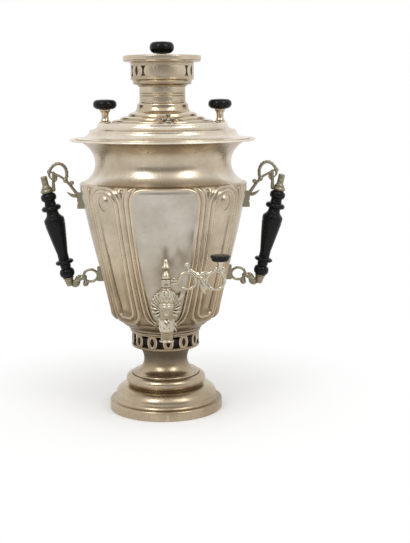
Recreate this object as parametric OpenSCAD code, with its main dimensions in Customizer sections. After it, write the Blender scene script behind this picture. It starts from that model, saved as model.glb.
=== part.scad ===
// Charcoal samovar: a water urn around a fire tube, with a lift-off lid,
// a crown for the teapot, a damper cap, a steam vent and a plug tap.
// Millimetres, +Z up, origin at the centre of the foot. The tap is at -Y.

/* [Foot] */
// Radius of the skirt that stands on the table
skirt_r = 75; // [70:0.5:85]
// Height of the skirt
skirt_h = 31; // [27:0.5:38]
// Height of the skirt's upright flange
flange_h = 12.6; // [9:0.2:14]
// Largest radius of the pedestal's torus
torus_r = 52.7; // [50:0.1:58]
// Height of the torus
torus_h = 19.7; // [17:0.1:24]
// Radius of the pedestal's waist
waist_r = 28.8; // [22:0.1:36]
// Height of the cove from the torus up to the waist
cove_low_h = 15.6; // [11:0.2:20]
// Height of the cove from the waist up to the lip
cove_high_h = 18.3; // [13:0.1:22]
// Height of the lip that carries the air ring
lip_h = 1.4; // [1.4:0.1:3]
// Thickness of the foot's sheet metal
foot_wall = 1.2; // [0.8:0.1:1.4]

/* [Air ring] */
// Outer radius of the pierced ring
ring_r = 44.5; // [41:0.1:46]
// Height of the pierced ring with its beads
ring_h = 18.5; // [17:0.5:24]
// Number of oval rings in the openwork
ring_ovals = 13; // [11:1:14]
// Width of each pierced oval
oval_w = 5.6; // [5:0.1:6.6]
// Height of each pierced oval
oval_h = 11.4; // [8:0.1:12]
// Wall of the pierced ring
ring_wall = 1.4; // [1:0.1:2]
// Direction of the first oval, in degrees to the right of the tap
ring_turn = 3.8; // [0:0.1:27]
// Radius of the ash cup inside the ring
ash_r = 37; // [33:0.5:39]
// Height of the ash cup, below the top of the openings so that air passes over it
ash_h = 12.5; // [8:0.5:14]

/* [Body] */
// Radius of the shell where it stands on the air ring
shell_foot_r = 45.2; // [45:0.1:47]
// Height of the stepped cup at the bottom of the shell
cup_h = 25.5; // [24:0.5:34]
// Radius where the cup meets the long taper
low_r = 69; // [66:0.2:74]
// Height of the long taper
taper_h = 164; // [150:1:185]
// Largest radius of the shell, at the shoulder
shoulder_r = 108.3; // [104:0.1:112]
// How far the taper swells beyond a straight cone
swell = 1.9; // [0:0.1:3]
// Height of the rounded shoulder
shoulder_h = 9; // [7:0.5:12]
// How far the shoulder rolls in towards the neck
shoulder_in = 8.3; // [6:0.1:11]
// Thickness of the embossed sheet
shell_wall = 1.5; // [1:0.1:2]

/* [Panels] */
// Half width of a large panel, in degrees at the shoulder
panel_half = 22.3; // [20.5:0.1:23.5]
// How much a large panel closes in towards its foot, in degrees
panel_close = 8; // [0:0.5:11]
// Height of the raised mouldings
bead_rise = 1.8; // [0.8:0.1:2.4]
// Half width of a narrow panel's channel, along the shoulder
niche_half = 17; // [14:0.5:18]
// Rise of the egg at the head of each narrow panel
egg_rise = 3.6; // [1:0.1:5]

/* [Neck] */
// Smallest radius of the neck
throat_r = 88.1; // [84:0.1:92]
// Height from the shoulder up to the narrowest place
throat_rise = 23; // [18:0.5:30]
// Height of the flare from the narrowest place to the rim
flare_h = 30.5; // [24:0.5:38]
// Radius of the rim
rim_r = 119.3; // [117:0.1:126]
// Thickness of the neck's sheet
neck_wall = 1.2; // [0.9:0.1:1.8]

/* [Lid] */
// Radius of the lid's edge
lid_r = 111.5; // [107:0.1:114]
// Radius of the outer step
lid_step_r = 94.5; // [91:0.1:99]
// Rise of the lid up to the outer step
lid_step_h = 9.4; // [7:0.2:13]
// Rise of the lid up to the flat that carries the knobs
lid_flat_h = 19.8; // [17:0.2:25]
// Outer radius of the flat
flat_out_r = 82.5; // [82:0.1:86]
// Inner radius of the flat
flat_in_r = 65.5; // [60:0.1:66]
// Rise of the first of the three rings
ring1_h = 3.4; // [2:0.2:5]
// Rise of the second ring
ring2_h = 4.2; // [2:0.2:6]
// Rise of the third ring
ring3_h = 5.6; // [3:0.2:8]
// Rise of the collar around the fire tube
collar_h = 11.1; // [8:0.2:16]
// Radius of the collar at its foot
collar_r = 34.4; // [33:0.1:38]
// Depth of the spigot that centres the lid in the neck
spigot_h = 8; // [5:0.5:12]
// Thickness of the lid's sheet
lid_wall = 1.2; // [0.9:0.1:1.6]
// How far the lid knobs stand from the axis
knob_ring_r = 74; // [73.5:0.1:74.4]
// Radius of a lid knob
knob_r = 15.25; // [13:0.25:17]
// Height of a lid knob
knob_h = 13; // [12:0.2:16]
// Height of a lid knob's stem
stem_h = 16.5; // [14:0.5:22]
// Radius of the bolt through each knob
bolt_r = 2; // [1.5:0.1:2.4]

/* [Steam vent] */
// How far the vent stands from the axis
vent_ring_r = 74.5; // [74:0.1:74.6]
// Direction of the vent, in degrees to the right of the tap
vent_turn = 4.5; // [-20:0.5:20]
// Radius of the valve disc
vent_r = 7.8; // [7:0.1:7.9]
// Span of the vent's leaf wings
vent_span = 36; // [26:0.5:36]
// Height of the vent's spike above the disc
spike_h = 10; // [7:0.5:14]

/* [Fire tube] */
// Outer radius of the chimney part of the tube
tube_r = 27.5; // [25:0.1:27.6]
// Outer radius of the firebox
firebox_r = 38; // [36:0.2:39]
// Height of the straight firebox
firebox_h = 52; // [40:1:70]
// Height of the cone from the firebox to the chimney
firebox_cone_h = 30; // [20:1:45]
// How far the tube stands above the lid's collar
tube_over_lid = 29.5; // [26:0.5:31]
// Wall of the tube
tube_wall = 1.6; // [1.2:0.1:2.2]
// Thickness of the fire grate
grate_h = 3; // [2:0.2:5]

/* [Crown] */
// Wall of the crown's sleeve around the tube
sleeve_wall = 1.3; // [1:0.1:1.6]
// Height of the sleeve
sleeve_h = 20.4; // [18:0.2:26]
// Height of the cove from the sleeve to the drum
crown_cove_h = 10; // [8:0.2:14]
// Outer radius of the pierced drum
drum_r = 40.3; // [38:0.1:43]
// Height of the pierced drum
drum_h = 21; // [18:0.5:26]
// Wall of the drum
drum_wall = 1.3; // [1:0.1:2]
// Outer radius of the plate that takes the teapot
plate_r = 50; // [47:0.5:55]
// Height of the plate's rim
plate_h = 8; // [6:0.2:11]
// Radius of the plate's mouth
mouth_r = 33; // [32:0.2:36]
// Angle between a group's oval and the waisted opening beside it
group_spread = 17; // [15:0.5:22]

/* [Damper cap] */
// Radius of the damper's disc
damper_r = 30; // [29:0.1:31]
// Depth of the damper's skirt inside the tube
damper_skirt = 8; // [5:0.5:12]
// Radius of the damper's knob
damper_knob_r = 15.75; // [13:0.25:18]
// Height of the damper's knob
damper_knob_h = 15.5; // [14:0.25:19]
// How far the knob's neck stands above the plate
damper_neck = 2.5; // [1:0.25:5]

/* [Tap] */
// Distance from the samovar's axis to the tap's plug
tap_reach = 115; // [110:0.5:125]
// Height of the tap's horizontal pipe above the shell's foot
tap_rise = 55.5; // [54:0.5:61]
// Drop from the pipe to the mouth of the spout
spout_drop = 44.8; // [40:0.2:50]
// Height of the barrel above the pipe
barrel_up = 20; // [18:0.2:24]
// Depth of the plug's seat below the pipe
barrel_down = 9; // [7:0.2:11]
// Height of the finial above the barrel
finial_h = 37.6; // [36:0.2:42]
// Outer radius of the horizontal pipe
pipe_r = 6.5; // [5.5:0.1:7.5]
// Bore of the horizontal pipe and of the plug
water_bore = 3; // [2:0.1:3.4]
// Outer radius of the barrel
barrel_r = 8.6; // [8.2:0.1:10]
// Radius of the plug at the top of the barrel
plug_top_r = 6; // [5.6:0.1:6.4]
// Radius of the plug at its lower end
plug_low_r = 5.2; // [4.8:0.1:5.5]
// Running clearance of the plug in the barrel
plug_fit = 0.05; // [0.03:0.01:0.08]
// Bore of the spout
spout_bore = 4.2; // [3.4:0.1:4.6]
// Width of the rosette behind the tap
rosette_w = 37; // [30:0.5:40]
// Height of the rosette
rosette_h = 41; // [38:0.5:46]
// Distance from the plug to the key's button
key_reach = 66; // [58:0.5:76]
// Height of the key's branch above the barrel
key_up = 10.4; // [9.8:0.1:11]
// Height of the key's button above its branch
button_up = 23.4; // [21:0.2:28]
// Radius of the key's first ring
key_ring1_r = 11.6; // [10.6:0.1:12.5]
// Radius of the key's second ring
key_ring2_r = 12.4; // [10:0.1:13.5]
// Thickness of the cast key
key_t = 4; // [3:0.2:5]
// Radius of the key's button
button_r = 12.4; // [10:0.2:15]
// Height of the key's button
button_h = 7.9; // [6:0.2:11]

/* [Handles] */
// Drop from the shoulder to the upper bracket
upper_drop = 16; // [14:0.5:24]
// Height of the lower bracket above the start of the taper
lower_rise = 50; // [42:1:58]
// Distance from the body to the head of the grip
reach_top = 45.7; // [42:0.2:54]
// Distance from the body to the foot of the grip
reach_low = 42.8; // [38:0.2:50]
// Largest radius of the turned grip
grip_r = 13.4; // [11:0.2:16]
// Radius of the rod through the grip
rod_r = 2.5; // [2:0.1:2.8]
// Clearance of the rod in its holes
rod_fit = 0.1; // [0.05:0.01:0.2]
// Thickness of the cast brackets
cast_t = 5; // [4:0.2:7]

/* [Hidden] */

$fn = 96;
nickel = "#beb3a2";
tap_nickel = "#c9c1b4";
old_brass = "#8f8567";
ebony = "#1d1c1b";
iron = "#4b4744";
steel = "#9a9a98";

// Air between pieces of different bodies
gap = 0.3;
// Overlap of cutters beyond the face that they cut
cut = 1;

z_ring = skirt_h + torus_h + cove_low_h + cove_high_h + lip_h;
z_shell = z_ring + ring_h;
z_taper = z_shell + cup_h;
z_shoulder = z_taper + taper_h;
z_neck = z_shoulder + shoulder_h;
z_throat = z_neck + throat_rise;
z_rim = z_throat + flare_h;

// ---- Outlines ----
function lerp(a, b, t) = a + (b - a) * t;
function unit(v) = v / norm(v);
// Step to the left of the path p at its point i, long enough to keep a sheet's thickness at a corner
function left_of(p, i) =
    let (last = len(p) - 1, a = unit(p[max(i, 1)] - p[max(i, 1) - 1]),
        b = unit(p[min(i, last - 1) + 1] - p[min(i, last - 1)]), m = unit(a + b), n = [-m[1], m[0]])
    n / max(0.5, n * [-a[1], a[0]]);
// A sheet of thickness t on the left of the path p
function sheet(p, t) =
    concat(p, [for (i = [len(p) - 1:-1:0]) p[i] + t * left_of(p, i)]);
// A strip of width w along the middle of the path p
function strip(p, w) =
    concat([for (i = [0:len(p) - 1]) p[i] - w / 2 * left_of(p, i)],
        [for (i = [len(p) - 1:-1:0]) p[i] + w / 2 * left_of(p, i)]);
// A stretch of an ellipse about c
function oval_arc(c, rx, rz, a0, a1, n = 10) =
    [for (i = [0:n]) let (a = lerp(a0, a1, i / n)) [c[0] + rx * cos(a), c[1] + rz * sin(a)]];
// A convex quarter round that goes on from p, first up and then in to q
function round_out(p, q, n = 6) =
    [for (i = [1:n]) let (a = 90 * i / n) [q[0] + (p[0] - q[0]) * cos(a), p[1] + (q[1] - p[1]) * sin(a)]];
// A hollow quarter round that goes on from p, first in and then up to q
function round_in(p, q, n = 6) =
    [for (i = [1:n]) let (a = 90 * i / n) [p[0] + (q[0] - p[0]) * sin(a), q[1] + (p[1] - q[1]) * cos(a)]];
// A turned bead between two heights, from radius r up to big and back to r
function bead(z0, z1, r, big, n = 8) =
    [for (i = [0:n]) let (a = 180 * i / n)
        [r + (big - r) * sin(a), (z0 + z1) / 2 - (z1 - z0) / 2 * cos(a)]];
// A cubic curve with its ends at a and d
function bend(a, b, c, d, n = 10) =
    [for (i = [0:n]) let (t = i / n, s = 1 - t)
        s * s * s * a + 3 * s * s * t * b + 3 * s * t * t * c + t * t * t * d];

module spin() rotate_extrude() children();
// A flat shape in the XZ plane, t thick about Y = 0
module upright(t) rotate([90, 0, 0]) linear_extrude(t, center = true) children();
module hollow_disc(r_out, r_in, h) {
    difference() {
        cylinder(r = r_out, h = h);
        translate([0, 0, -cut]) cylinder(r = r_in, h = h + 2 * cut);
    }
}

// ---- Foot ----
torus_rx = 7.2;
torus_c = [torus_r - torus_rx, skirt_h + 0.47 * torus_h];
// Radii where the waist's two coves end, above the torus and at the lip
cove_low_r = torus_c[0] - 3.7;
cove_high_r = lerp(cove_low_r, ring_r, 0.5);
waist_z = skirt_h + torus_h + cove_low_h;

module skirt() {
    flange_top = [skirt_r - 2.5, flange_h];
    cove_start = [skirt_r - 4.5, flange_h];
    cove_end = [skirt_r - 8, flange_h + 6];
    crest = [torus_r, skirt_h];
    path = concat([[skirt_r, 0], [skirt_r, flange_h - 2.5]],
        round_out([skirt_r, flange_h - 2.5], flange_top), [cove_start],
        round_in(cove_start, cove_end), round_out(cove_end, crest, 10),
        [[torus_r - 9, skirt_h]]);
    color(nickel) spin() polygon(sheet(path, foot_wall));
}

module pedestal() {
    torus = concat(oval_arc(torus_c, torus_rx, 0.45 * torus_h, -75, 0, 9),
        oval_arc(torus_c, torus_rx, 0.33 * torus_h, 9, 92, 8));
    foot_r = torus[0][0];
    bead_z = torus_c[1] + 0.28 * torus_h;
    path = concat([[foot_r, skirt_h]], torus,
        [[torus_c[0] - 1.7, bead_z], [torus_c[0] - 1.8, bead_z + 0.09 * torus_h],
        [torus_c[0] - 2.4, bead_z + 0.17 * torus_h]],
        oval_arc([cove_low_r, waist_z], cove_low_r - waist_r, cove_low_h, 267, 180, 10),
        oval_arc([cove_high_r, waist_z], cove_high_r - waist_r, cove_high_h, 170, 96, 8));
    color(nickel) {
        spin() polygon(sheet(path, foot_wall));
        translate([0, 0, z_ring - lip_h]) cylinder(r = ring_r + 0.3, h = lip_h);
    }
}

// ---- Air ring ----
function oval(w, h, n = 16) = [for (i = [0:n - 1]) [w / 2 * cos(i * 360 / n), h / 2 * sin(i * 360 / n)]];
// An opening with a narrow waist, between two ovals
function hourglass(w, waist, h, n = 6) =
    [for (side = [1, -1]) for (i = [0:n]) let (y = side * lerp(-1, 1, i / n))
        [side * (waist + (w - waist) * y * y) / 2, y * h / 2]];
// Cuts its outline through the wall of a drum, at the angle a and the height z
module pierce(a, r, z) {
    rotate([0, 0, a]) translate([0, -r, z]) upright(12) children();
}

module air_ring() {
    pitch = 360 / ring_ovals;
    arc = ring_r * pitch * PI / 180;
    open_h = ring_h - 2.9;
    mid = z_ring + 1.8 + open_h / 2;
    waist = arc - oval_w - 8;
    color(nickel) difference() {
        spin() polygon([[ring_r - ring_wall, z_ring], [ring_r + 0.7, z_ring],
            [ring_r + 0.7, z_ring + 0.9], [ring_r, z_ring + 1.3], [ring_r, z_shell - 0.6],
            [shell_foot_r, z_shell], [ring_r - ring_wall, z_shell]]);
        for (i = [0:ring_ovals - 1]) {
            pierce(ring_turn + i * pitch, ring_r, mid) polygon(oval(oval_w, oval_h));
            pierce(ring_turn + (i + 0.5) * pitch, ring_r, mid) polygon(hourglass(waist + 4, waist, open_h));
        }
    }
}

// Loose embers fall into this cup, which stands on the pedestal's deck
module ash_cup() {
    ash_wall = 1;
    path = [[0, z_ring], [ash_r - 3, z_ring], [ash_r - 1, z_ring + 1.5], [ash_r, z_ring + ash_h]];
    color(iron) spin() polygon(sheet(path, ash_wall));
}

// ---- Shell ----
// Radius of the stepped cup, by height above the shell's foot
cup_line = [[0, shell_foot_r], [0.8, shell_foot_r + 1.3], [2.4, shell_foot_r + 1.4],
    [3.2, shell_foot_r + 0.9], [4.4, shell_foot_r + 2.6], [6, shell_foot_r + 3], [7, shell_foot_r + 2.8],
    [9.6, shell_foot_r + 7], [12.6, shell_foot_r + 11], [14.6, shell_foot_r + 13],
    [18.4, shell_foot_r + 18], [cup_h, low_r]];
// Radius of the shell's plain surface at the height z
function shell_r(z) =
    let (t = (z - z_taper) / taper_h, up = z - z_shoulder, roll = shoulder_h + 0.5)
    z < z_taper ? lookup(z - z_shell, cup_line) :
    z < z_shoulder ? lerp(low_r, shoulder_r, t) + 4 * swell * t * (1 - t) :
    shoulder_r - shoulder_in * (1 - sqrt(max(0, 1 - up * up / roll / roll)));

// The mouldings are laid out flat: x along the shoulder's girth, z up
per_degree = shoulder_r * PI / 180;
panel_foot = z_taper - 2;
panel_head = z_neck - 4.5;
niche_foot = z_taper + 4;
niche_head = z_neck - 8.5;
egg_z = z_neck - 19;
// Distance from the edge of a box with round corners, negative inside
function from_box(x, z, half_w, z0, z1, round) =
    let (q = [abs(x) - half_w + round, abs(z - (z0 + z1) / 2) - (z1 - z0) / 2 + round])
    min(max(q[0], q[1]), 0) + norm([max(q[0], 0), max(q[1], 0)]) - round;
function bump(x) = abs(x) < 1 ? (1 - x * x) * (1 - x * x) : 0;
// Two parallel beads outside an edge
bead_crests = [2, 8.4];
bead_spreads = [2.8, 2.6];
function moulding(d) =
    bump((d - bead_crests[0]) / bead_spreads[0]) + 0.85 * bump((d - bead_crests[1]) / bead_spreads[1]);
// How far the surface stands out at p degrees from a large panel's middle
function relief(p, z) =
    let (big = from_box(p * per_degree, z, panel_half * per_degree, panel_foot, panel_head, 14),
        x = (45 - p) * per_degree,
        niche = from_box(x, z, niche_half, niche_foot, niche_head, niche_half - 0.5),
        fade = min(1, max(0, (z_neck - z) / 2)))
    bead_rise * fade * max(moulding(big), moulding(niche))
        + egg_rise * bump(norm([x, (z - egg_z) * 0.8]) / 8);
// Large panels close in towards the foot and narrow ones open
function panel_edge(z) =
    let (t = max(0, (panel_head - z) / (panel_head - panel_foot))) panel_half - panel_close * t * t * t;
function turned(p, z) =
    p < panel_half ? p * panel_edge(z) / panel_half :
    45 - (45 - p) * (45 - panel_edge(z)) / (45 - panel_half);

// Meridians of the relief from a large panel's middle to a narrow one's
bead_pitch = 1 / per_degree;
niche_edge = 45 - niche_half * bead_pitch;
bead_steps = [bead_crests[0] - bead_spreads[0], bead_crests[0], (bead_crests[0] + bead_crests[1]) / 2,
    bead_crests[1], bead_crests[1] + bead_spreads[1]];
steps = concat([0, 7, 14, panel_half - 2],
    [for (d = bead_steps) panel_half + d * bead_pitch],
    [for (i = [4:-1:0]) niche_edge - bead_steps[i] * bead_pitch],
    [lerp(niche_edge, 45, 0.45), 42.5]);
quarter = concat(steps, [45], [for (i = [len(steps) - 1:-1:1]) 90 - steps[i]]);
meridians = [for (k = [0:3]) for (p = quarter) [k * 90, p]];
around = len(meridians);
// Heights of the relief's rows, closest at the heads of the panels
outer_rows = sorted(concat([for (c = cup_line) z_shell + c[0]], [z_shell + 22],
    [for (t = [0.02, 0.06, 0.11, 0.2, 0.34, 0.48, 0.62, 0.76, 0.88]) z_taper + t * taper_h],
    [for (d = [23.5, 20, 17, 14.5, 12, 10, 8, 6, 4.3, 2.6, 1.2, 0]) z_neck - d]));
inner_rows = concat([for (t = [1, 0.6, 0]) z_shoulder + t * shoulder_h],
    [for (t = [0.66, 0.33, 0]) z_taper + t * taper_h],
    [for (c = [18.4, 14, 9.6, 4.4, 0]) z_shell + c]);
// The numbers of v, each once, from the lowest up
function sorted(v) = len(v) < 2 ? v :
    let (m = v[floor(len(v) / 2)])
    concat(sorted([for (a = v) if (a < m) a]), [m], sorted([for (a = v) if (a > m) a]));

// A meridian m is the direction of its large panel's middle and p degrees on from there
function folded(p) = p > 45 ? 90 - p : p;
function direction(m, z) = m[0] + (m[1] > 45 ? 90 - turned(90 - m[1], z) : turned(m[1], z));
function on_shell(m, z, r) = [-r * sin(direction(m, z)), -r * cos(direction(m, z)), z];

module shell() {
    outer = [for (z = outer_rows) for (m = meridians)
        on_shell(m, z, shell_r(z) + relief(folded(m[1]), z))];
    inner = [for (z = inner_rows) for (m = meridians) on_shell(m, z, shell_r(z) - shell_wall)];
    rows = len(outer_rows) + len(inner_rows);
    faces = [for (j = [0:rows - 1]) for (i = [0:around - 1])
        let (a = j * around + i, b = j * around + (i + 1) % around,
            c = ((j + 1) % rows) * around + i, d = ((j + 1) % rows) * around + (i + 1) % around)
        for (f = [[a, b, c], [b, d, c]]) f];
    color(nickel) difference() {
        polyhedron(concat(outer, inner), faces);
        translate([0, -tap_reach, z_pipe]) rotate([-90, 0, 0]) cylinder(r = pipe_r + 0.05, h = tap_reach);
    }
}

// The shell's plain outside as a solid, grown by g, to shape what lies on it
module shell_core(g) {
    line = [for (z = outer_rows) [shell_r(z) + g, z]];
    rotate_extrude($fn = 180) polygon(concat([[0, z_shell]], line, [[0, z_neck]]));
}

// ---- Neck ----
neck_foot_r = shell_r(z_neck);
flare_w = rim_r - throat_r;
function flare_z(r) = z_throat + flare_h * sqrt(1 - pow((rim_r - r) / flare_w, 2));
function flare_r(z) = rim_r - flare_w * sqrt(1 - pow((z - z_throat) / flare_h, 2));

module neck() {
    low_rz = throat_rise / sin(62);
    low_rx = (neck_foot_r - throat_r) / (1 - cos(62));
    // The foot stands upright first, so that the sheet's inner side stays above the shell
    path = concat([[neck_foot_r, z_neck], [neck_foot_r, z_neck + 0.85 * neck_wall],
            [neck_foot_r - 0.4 * neck_wall, z_neck + 1.25 * neck_wall]],
        oval_arc([throat_r + low_rx, z_throat], low_rx, low_rz, 232, 184, 9),
        oval_arc([rim_r, z_throat], flare_w, flare_h, 180, 90, 16));
    color(nickel) {
        spin() polygon(sheet(path, neck_wall));
        spin() translate([rim_r - 0.4, z_rim - 0.5]) circle(r = 1.1, $fn = 24);
    }
}

// ---- Fire tube, floor and grate ----
floor_h = 2;
// The lid's edge rests on the upper face of the flare
lid_in = (rim_r - lid_r) / flare_w;
flare_slope = atan(flare_h / flare_w * lid_in / sqrt(1 - lid_in * lid_in));
z_lid = flare_z(lid_r) + neck_wall / cos(flare_slope) + gap + lid_wall;
z_flat = z_lid + lid_flat_h;
z_collar = z_flat + ring1_h + ring2_h + ring3_h + collar_h;
z_crown = z_collar + gap;
z_tube = z_crown + tube_over_lid;
z_floor = z_shell + floor_h;
z_chimney = z_floor + firebox_h + firebox_cone_h;

module water_floor() {
    color(iron) translate([0, 0, z_shell])
        hollow_disc(shell_foot_r - shell_wall - 0.15, firebox_r - 5, floor_h);
}

module firebox() {
    cone_z = z_floor + firebox_h;
    path = [[firebox_r, z_floor], [firebox_r, cone_z], [tube_r, z_chimney]];
    color(old_brass) spin() polygon(sheet(path, tube_wall));
}

module fire_tube() {
    color(old_brass) translate([0, 0, z_chimney])
        hollow_disc(tube_r, tube_r - tube_wall, z_tube - z_chimney);
}

module grate() {
    r = firebox_r - tube_wall - 0.4;
    color(iron) translate([0, 0, z_floor]) difference() {
        cylinder(r = r, h = grate_h);
        for (i = [-2:2]) {
            slot = sqrt(r * r - i * i * 144) - 6;
            translate([i * 12 - 2.5, -slot, -cut]) cube([5, 2 * slot, grate_h + 2 * cut]);
        }
    }
}

// ---- Lid ----
hole_fit = 0.7;
function ring_foot(i) = lerp(flat_in_r, collar_r, i / 3);

module lid() {
    step = [lid_step_r, z_lid + lid_step_h];
    step_in = [lid_step_r - 2.5, step[1] + 1.4];
    bank = [flat_out_r + 1, z_flat - 2];
    flat = [flat_out_r - 1.5, z_flat];
    z1 = z_flat + ring1_h;
    z2 = z1 + ring2_h;
    z3 = z2 + ring3_h;
    path = concat([[lid_r, z_lid], [lid_r - 3, z_lid + 0.6]],
        round_in([lid_r - 3, z_lid + 0.6], step), round_out(step, step_in, 4),
        round_in(step_in, bank), round_out(bank, flat, 4), [[ring_foot(0), z_flat]],
        round_out([ring_foot(0) - 0.3, z_flat + 1], [ring_foot(1) + 4, z1], 7), [[ring_foot(1), z1]],
        round_out([ring_foot(1) - 0.3, z1 + 1], [ring_foot(2) + 4, z2], 7), [[ring_foot(2), z2]],
        round_out([ring_foot(2) - 0.3, z2 + 1], [ring_foot(3) + 3, z3], 7),
        round_in([ring_foot(3) + 3, z3], [collar_r - 1.5, z_collar - 2.5], 7),
        round_out([collar_r - 1.5, z_collar - 2.5], [collar_r - 3.5, z_collar], 4),
        [[tube_r + hole_fit, z_collar]]);
    spigot_r = flare_r(z_lid - spigot_h) - 1.6 * neck_wall - 0.5;
    z_spigot = z_lid - spigot_h;
    mid_sheet = [for (i = [0:len(path) - 1]) path[i] + lid_wall / 2 * left_of(path, i)];
    color(nickel) {
        difference() {
            spin() polygon(sheet(path, lid_wall));
            for (side = [-1, 1]) translate([side * knob_ring_r, 0, z_flat - 2 * lid_wall])
                cylinder(r = bolt_r + 0.2, h = 4 * lid_wall, $fn = 32);
            at_vent(-2 * lid_wall) cylinder(r = vent_r - 0.8, h = 4 * lid_wall, $fn = 48);
        }
        // The spigot ends within the sheet's thickness
        intersection() {
            translate([0, 0, z_spigot]) hollow_disc(spigot_r, spigot_r - 1.4, z_flat - z_spigot);
            spin() polygon(concat([[0, z_spigot - cut], [lid_r, z_spigot - cut]], mid_sheet,
                [[0, z_collar]]));
        }
    }
}

knob_neck_r = 7;
// Half outline of a turned knob with a nearly flat top, with a blind hole
module knob(r, h, hole_r, hole_h) {
    path = concat([[hole_r, 0], [knob_neck_r + 0.5, 0]],
        [for (i = [1:7]) let (a = 90 * i / 7)
            [lerp(knob_neck_r + 0.5, r, sin(a)), h * 0.48 * (1 - cos(a))]],
        [for (i = [1:6]) let (a = 90 * i / 6)
            [lerp(r, r * 0.68, 1 - cos(a)), h * (0.48 + 0.46 * sin(a))]],
        [[r * 0.35, h * 0.985], [0, h], [0, hole_h], [hole_r, hole_h]]);
    spin() polygon(path);
}

module knob_stem(side) {
    base = concat([[bolt_r + 0.05, 0], [knob_neck_r + 0.6, 0], [knob_neck_r + 0.6, 0.9]],
        round_in([knob_neck_r + 0.2, 1.1], [4.5, stem_h * 0.45]));
    top = [[4.5, stem_h * 0.6], [5.4, stem_h * 0.78], [knob_neck_r, stem_h - 2],
        [knob_neck_r, stem_h], [bolt_r + 0.05, stem_h]];
    color(nickel) translate([side * knob_ring_r, 0, z_flat]) spin() polygon(concat(base, top));
}

module lid_knob(side) {
    color(ebony) translate([side * knob_ring_r, 0, z_flat + stem_h])
        knob(knob_r, knob_h, bolt_r + 0.05, knob_h - 4);
}

module knob_bolts() {
    color(steel) for (side = [-1, 1]) translate([side * knob_ring_r, 0, z_flat - lid_wall]) {
        cylinder(r = bolt_r, h = lid_wall + stem_h + knob_h - 4.5, $fn = 32);
        translate([0, 0, -2.5]) cylinder(r = bolt_r + 2, h = 2.5, $fn = 32);
    }
}

// ---- Steam vent ----
vent_hole_r = 1.1;
vent_hole_ring = 4.4;
vent_holes = 6;
seat_h = 1.2;
seat_drop = 2.6;
pin_r = 1.7;
vent_disc_h = 2;
module at_vent(z) rotate([0, 0, vent_turn]) translate([0, -vent_ring_r, z_flat + z]) children();
module vent_bores(turn, h) {
    for (i = [0:vent_holes - 1]) rotate([0, 0, turn + i * 360 / vent_holes])
        translate([vent_hole_ring, 0, -cut]) cylinder(r = vent_hole_r, h = h + 2 * cut, $fn = 20);
}

module vent_seat() {
    color(nickel) at_vent(0) difference() {
        union() {
            cylinder(r = vent_r, h = seat_h);
            translate([0, 0, -seat_drop]) cylinder(r = vent_r - 1, h = seat_drop + 0.1);
        }
        translate([0, 0, -seat_drop]) vent_bores(0, seat_drop + seat_h);
        translate([0, 0, -seat_drop - cut])
            cylinder(r = pin_r + 0.06, h = seat_drop + seat_h + 2 * cut, $fn = 32);
    }
}

module vent_cap() {
    half_span = vent_span / 2;
    color(tap_nickel) at_vent(seat_h + gap) {
        difference() {
            union() {
                cylinder(r = vent_r - 0.3, h = vent_disc_h);
                for (side = [0, 180]) rotate([0, 0, side]) {
                    translate([0, 0, 0.6]) linear_extrude(2.6)
                        polygon([[2.6, -3.4], [8, -4.4], [11, -3], [15, -3], [half_span, 0],
                            [15, 3], [11, 3], [8, 4.4], [2.6, 3.4]]);
                    translate([0, 0, 1]) linear_extrude(4.2)
                        polygon([[5, -1.2], [half_span - 4, -0.8], [half_span - 2, 0],
                            [half_span - 4, 0.8], [5, 1.2]]);
                }
            }
            vent_bores(180 / vent_holes, 6);
        }
        translate([0, 0, vent_disc_h - 0.1]) spin() polygon([[0, 0], [3.1, 0], [2.6, 1], [1.5, 3],
            [1.3, spike_h - 4], [2.8, spike_h - 1.4], [3.1, spike_h - 0.8], [2.4, spike_h],
            [0, spike_h + 0.3]]);
        translate([0, 0, -gap - seat_h - seat_drop - gap])
            cylinder(r = pin_r, h = seat_h + seat_drop + 2 * gap + 0.5, $fn = 32);
    }
}

module vent_washer() {
    color(steel) at_vent(-seat_drop - gap - 1.5) cylinder(r = pin_r + 1.8, h = 1.5, $fn = 32);
}

// ---- Crown ----
sleeve_in = tube_r + hole_fit;
sleeve_out = sleeve_in + sleeve_wall;
z_cove = z_crown + sleeve_h;
z_drum = z_cove + crown_cove_h;
z_plate = z_drum + drum_h;
z_top = z_plate + plate_h;

module crown_sleeve() {
    path = concat([[sleeve_out + 0.7, z_crown], [sleeve_out + 0.7, z_crown + 1.6],
        [sleeve_out, z_crown + 2.2]],
        [for (z = [0.42, 0.58]) for (k = [[0, -0.8], [-0.45, 0], [0, 0.8]])
            [sleeve_out + k[0], z_crown + z * sleeve_h + k[1]]],
        [[sleeve_out, z_cove], [sleeve_in, z_cove], [sleeve_in, z_crown]]);
    color(nickel) spin() polygon(path);
}

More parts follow.
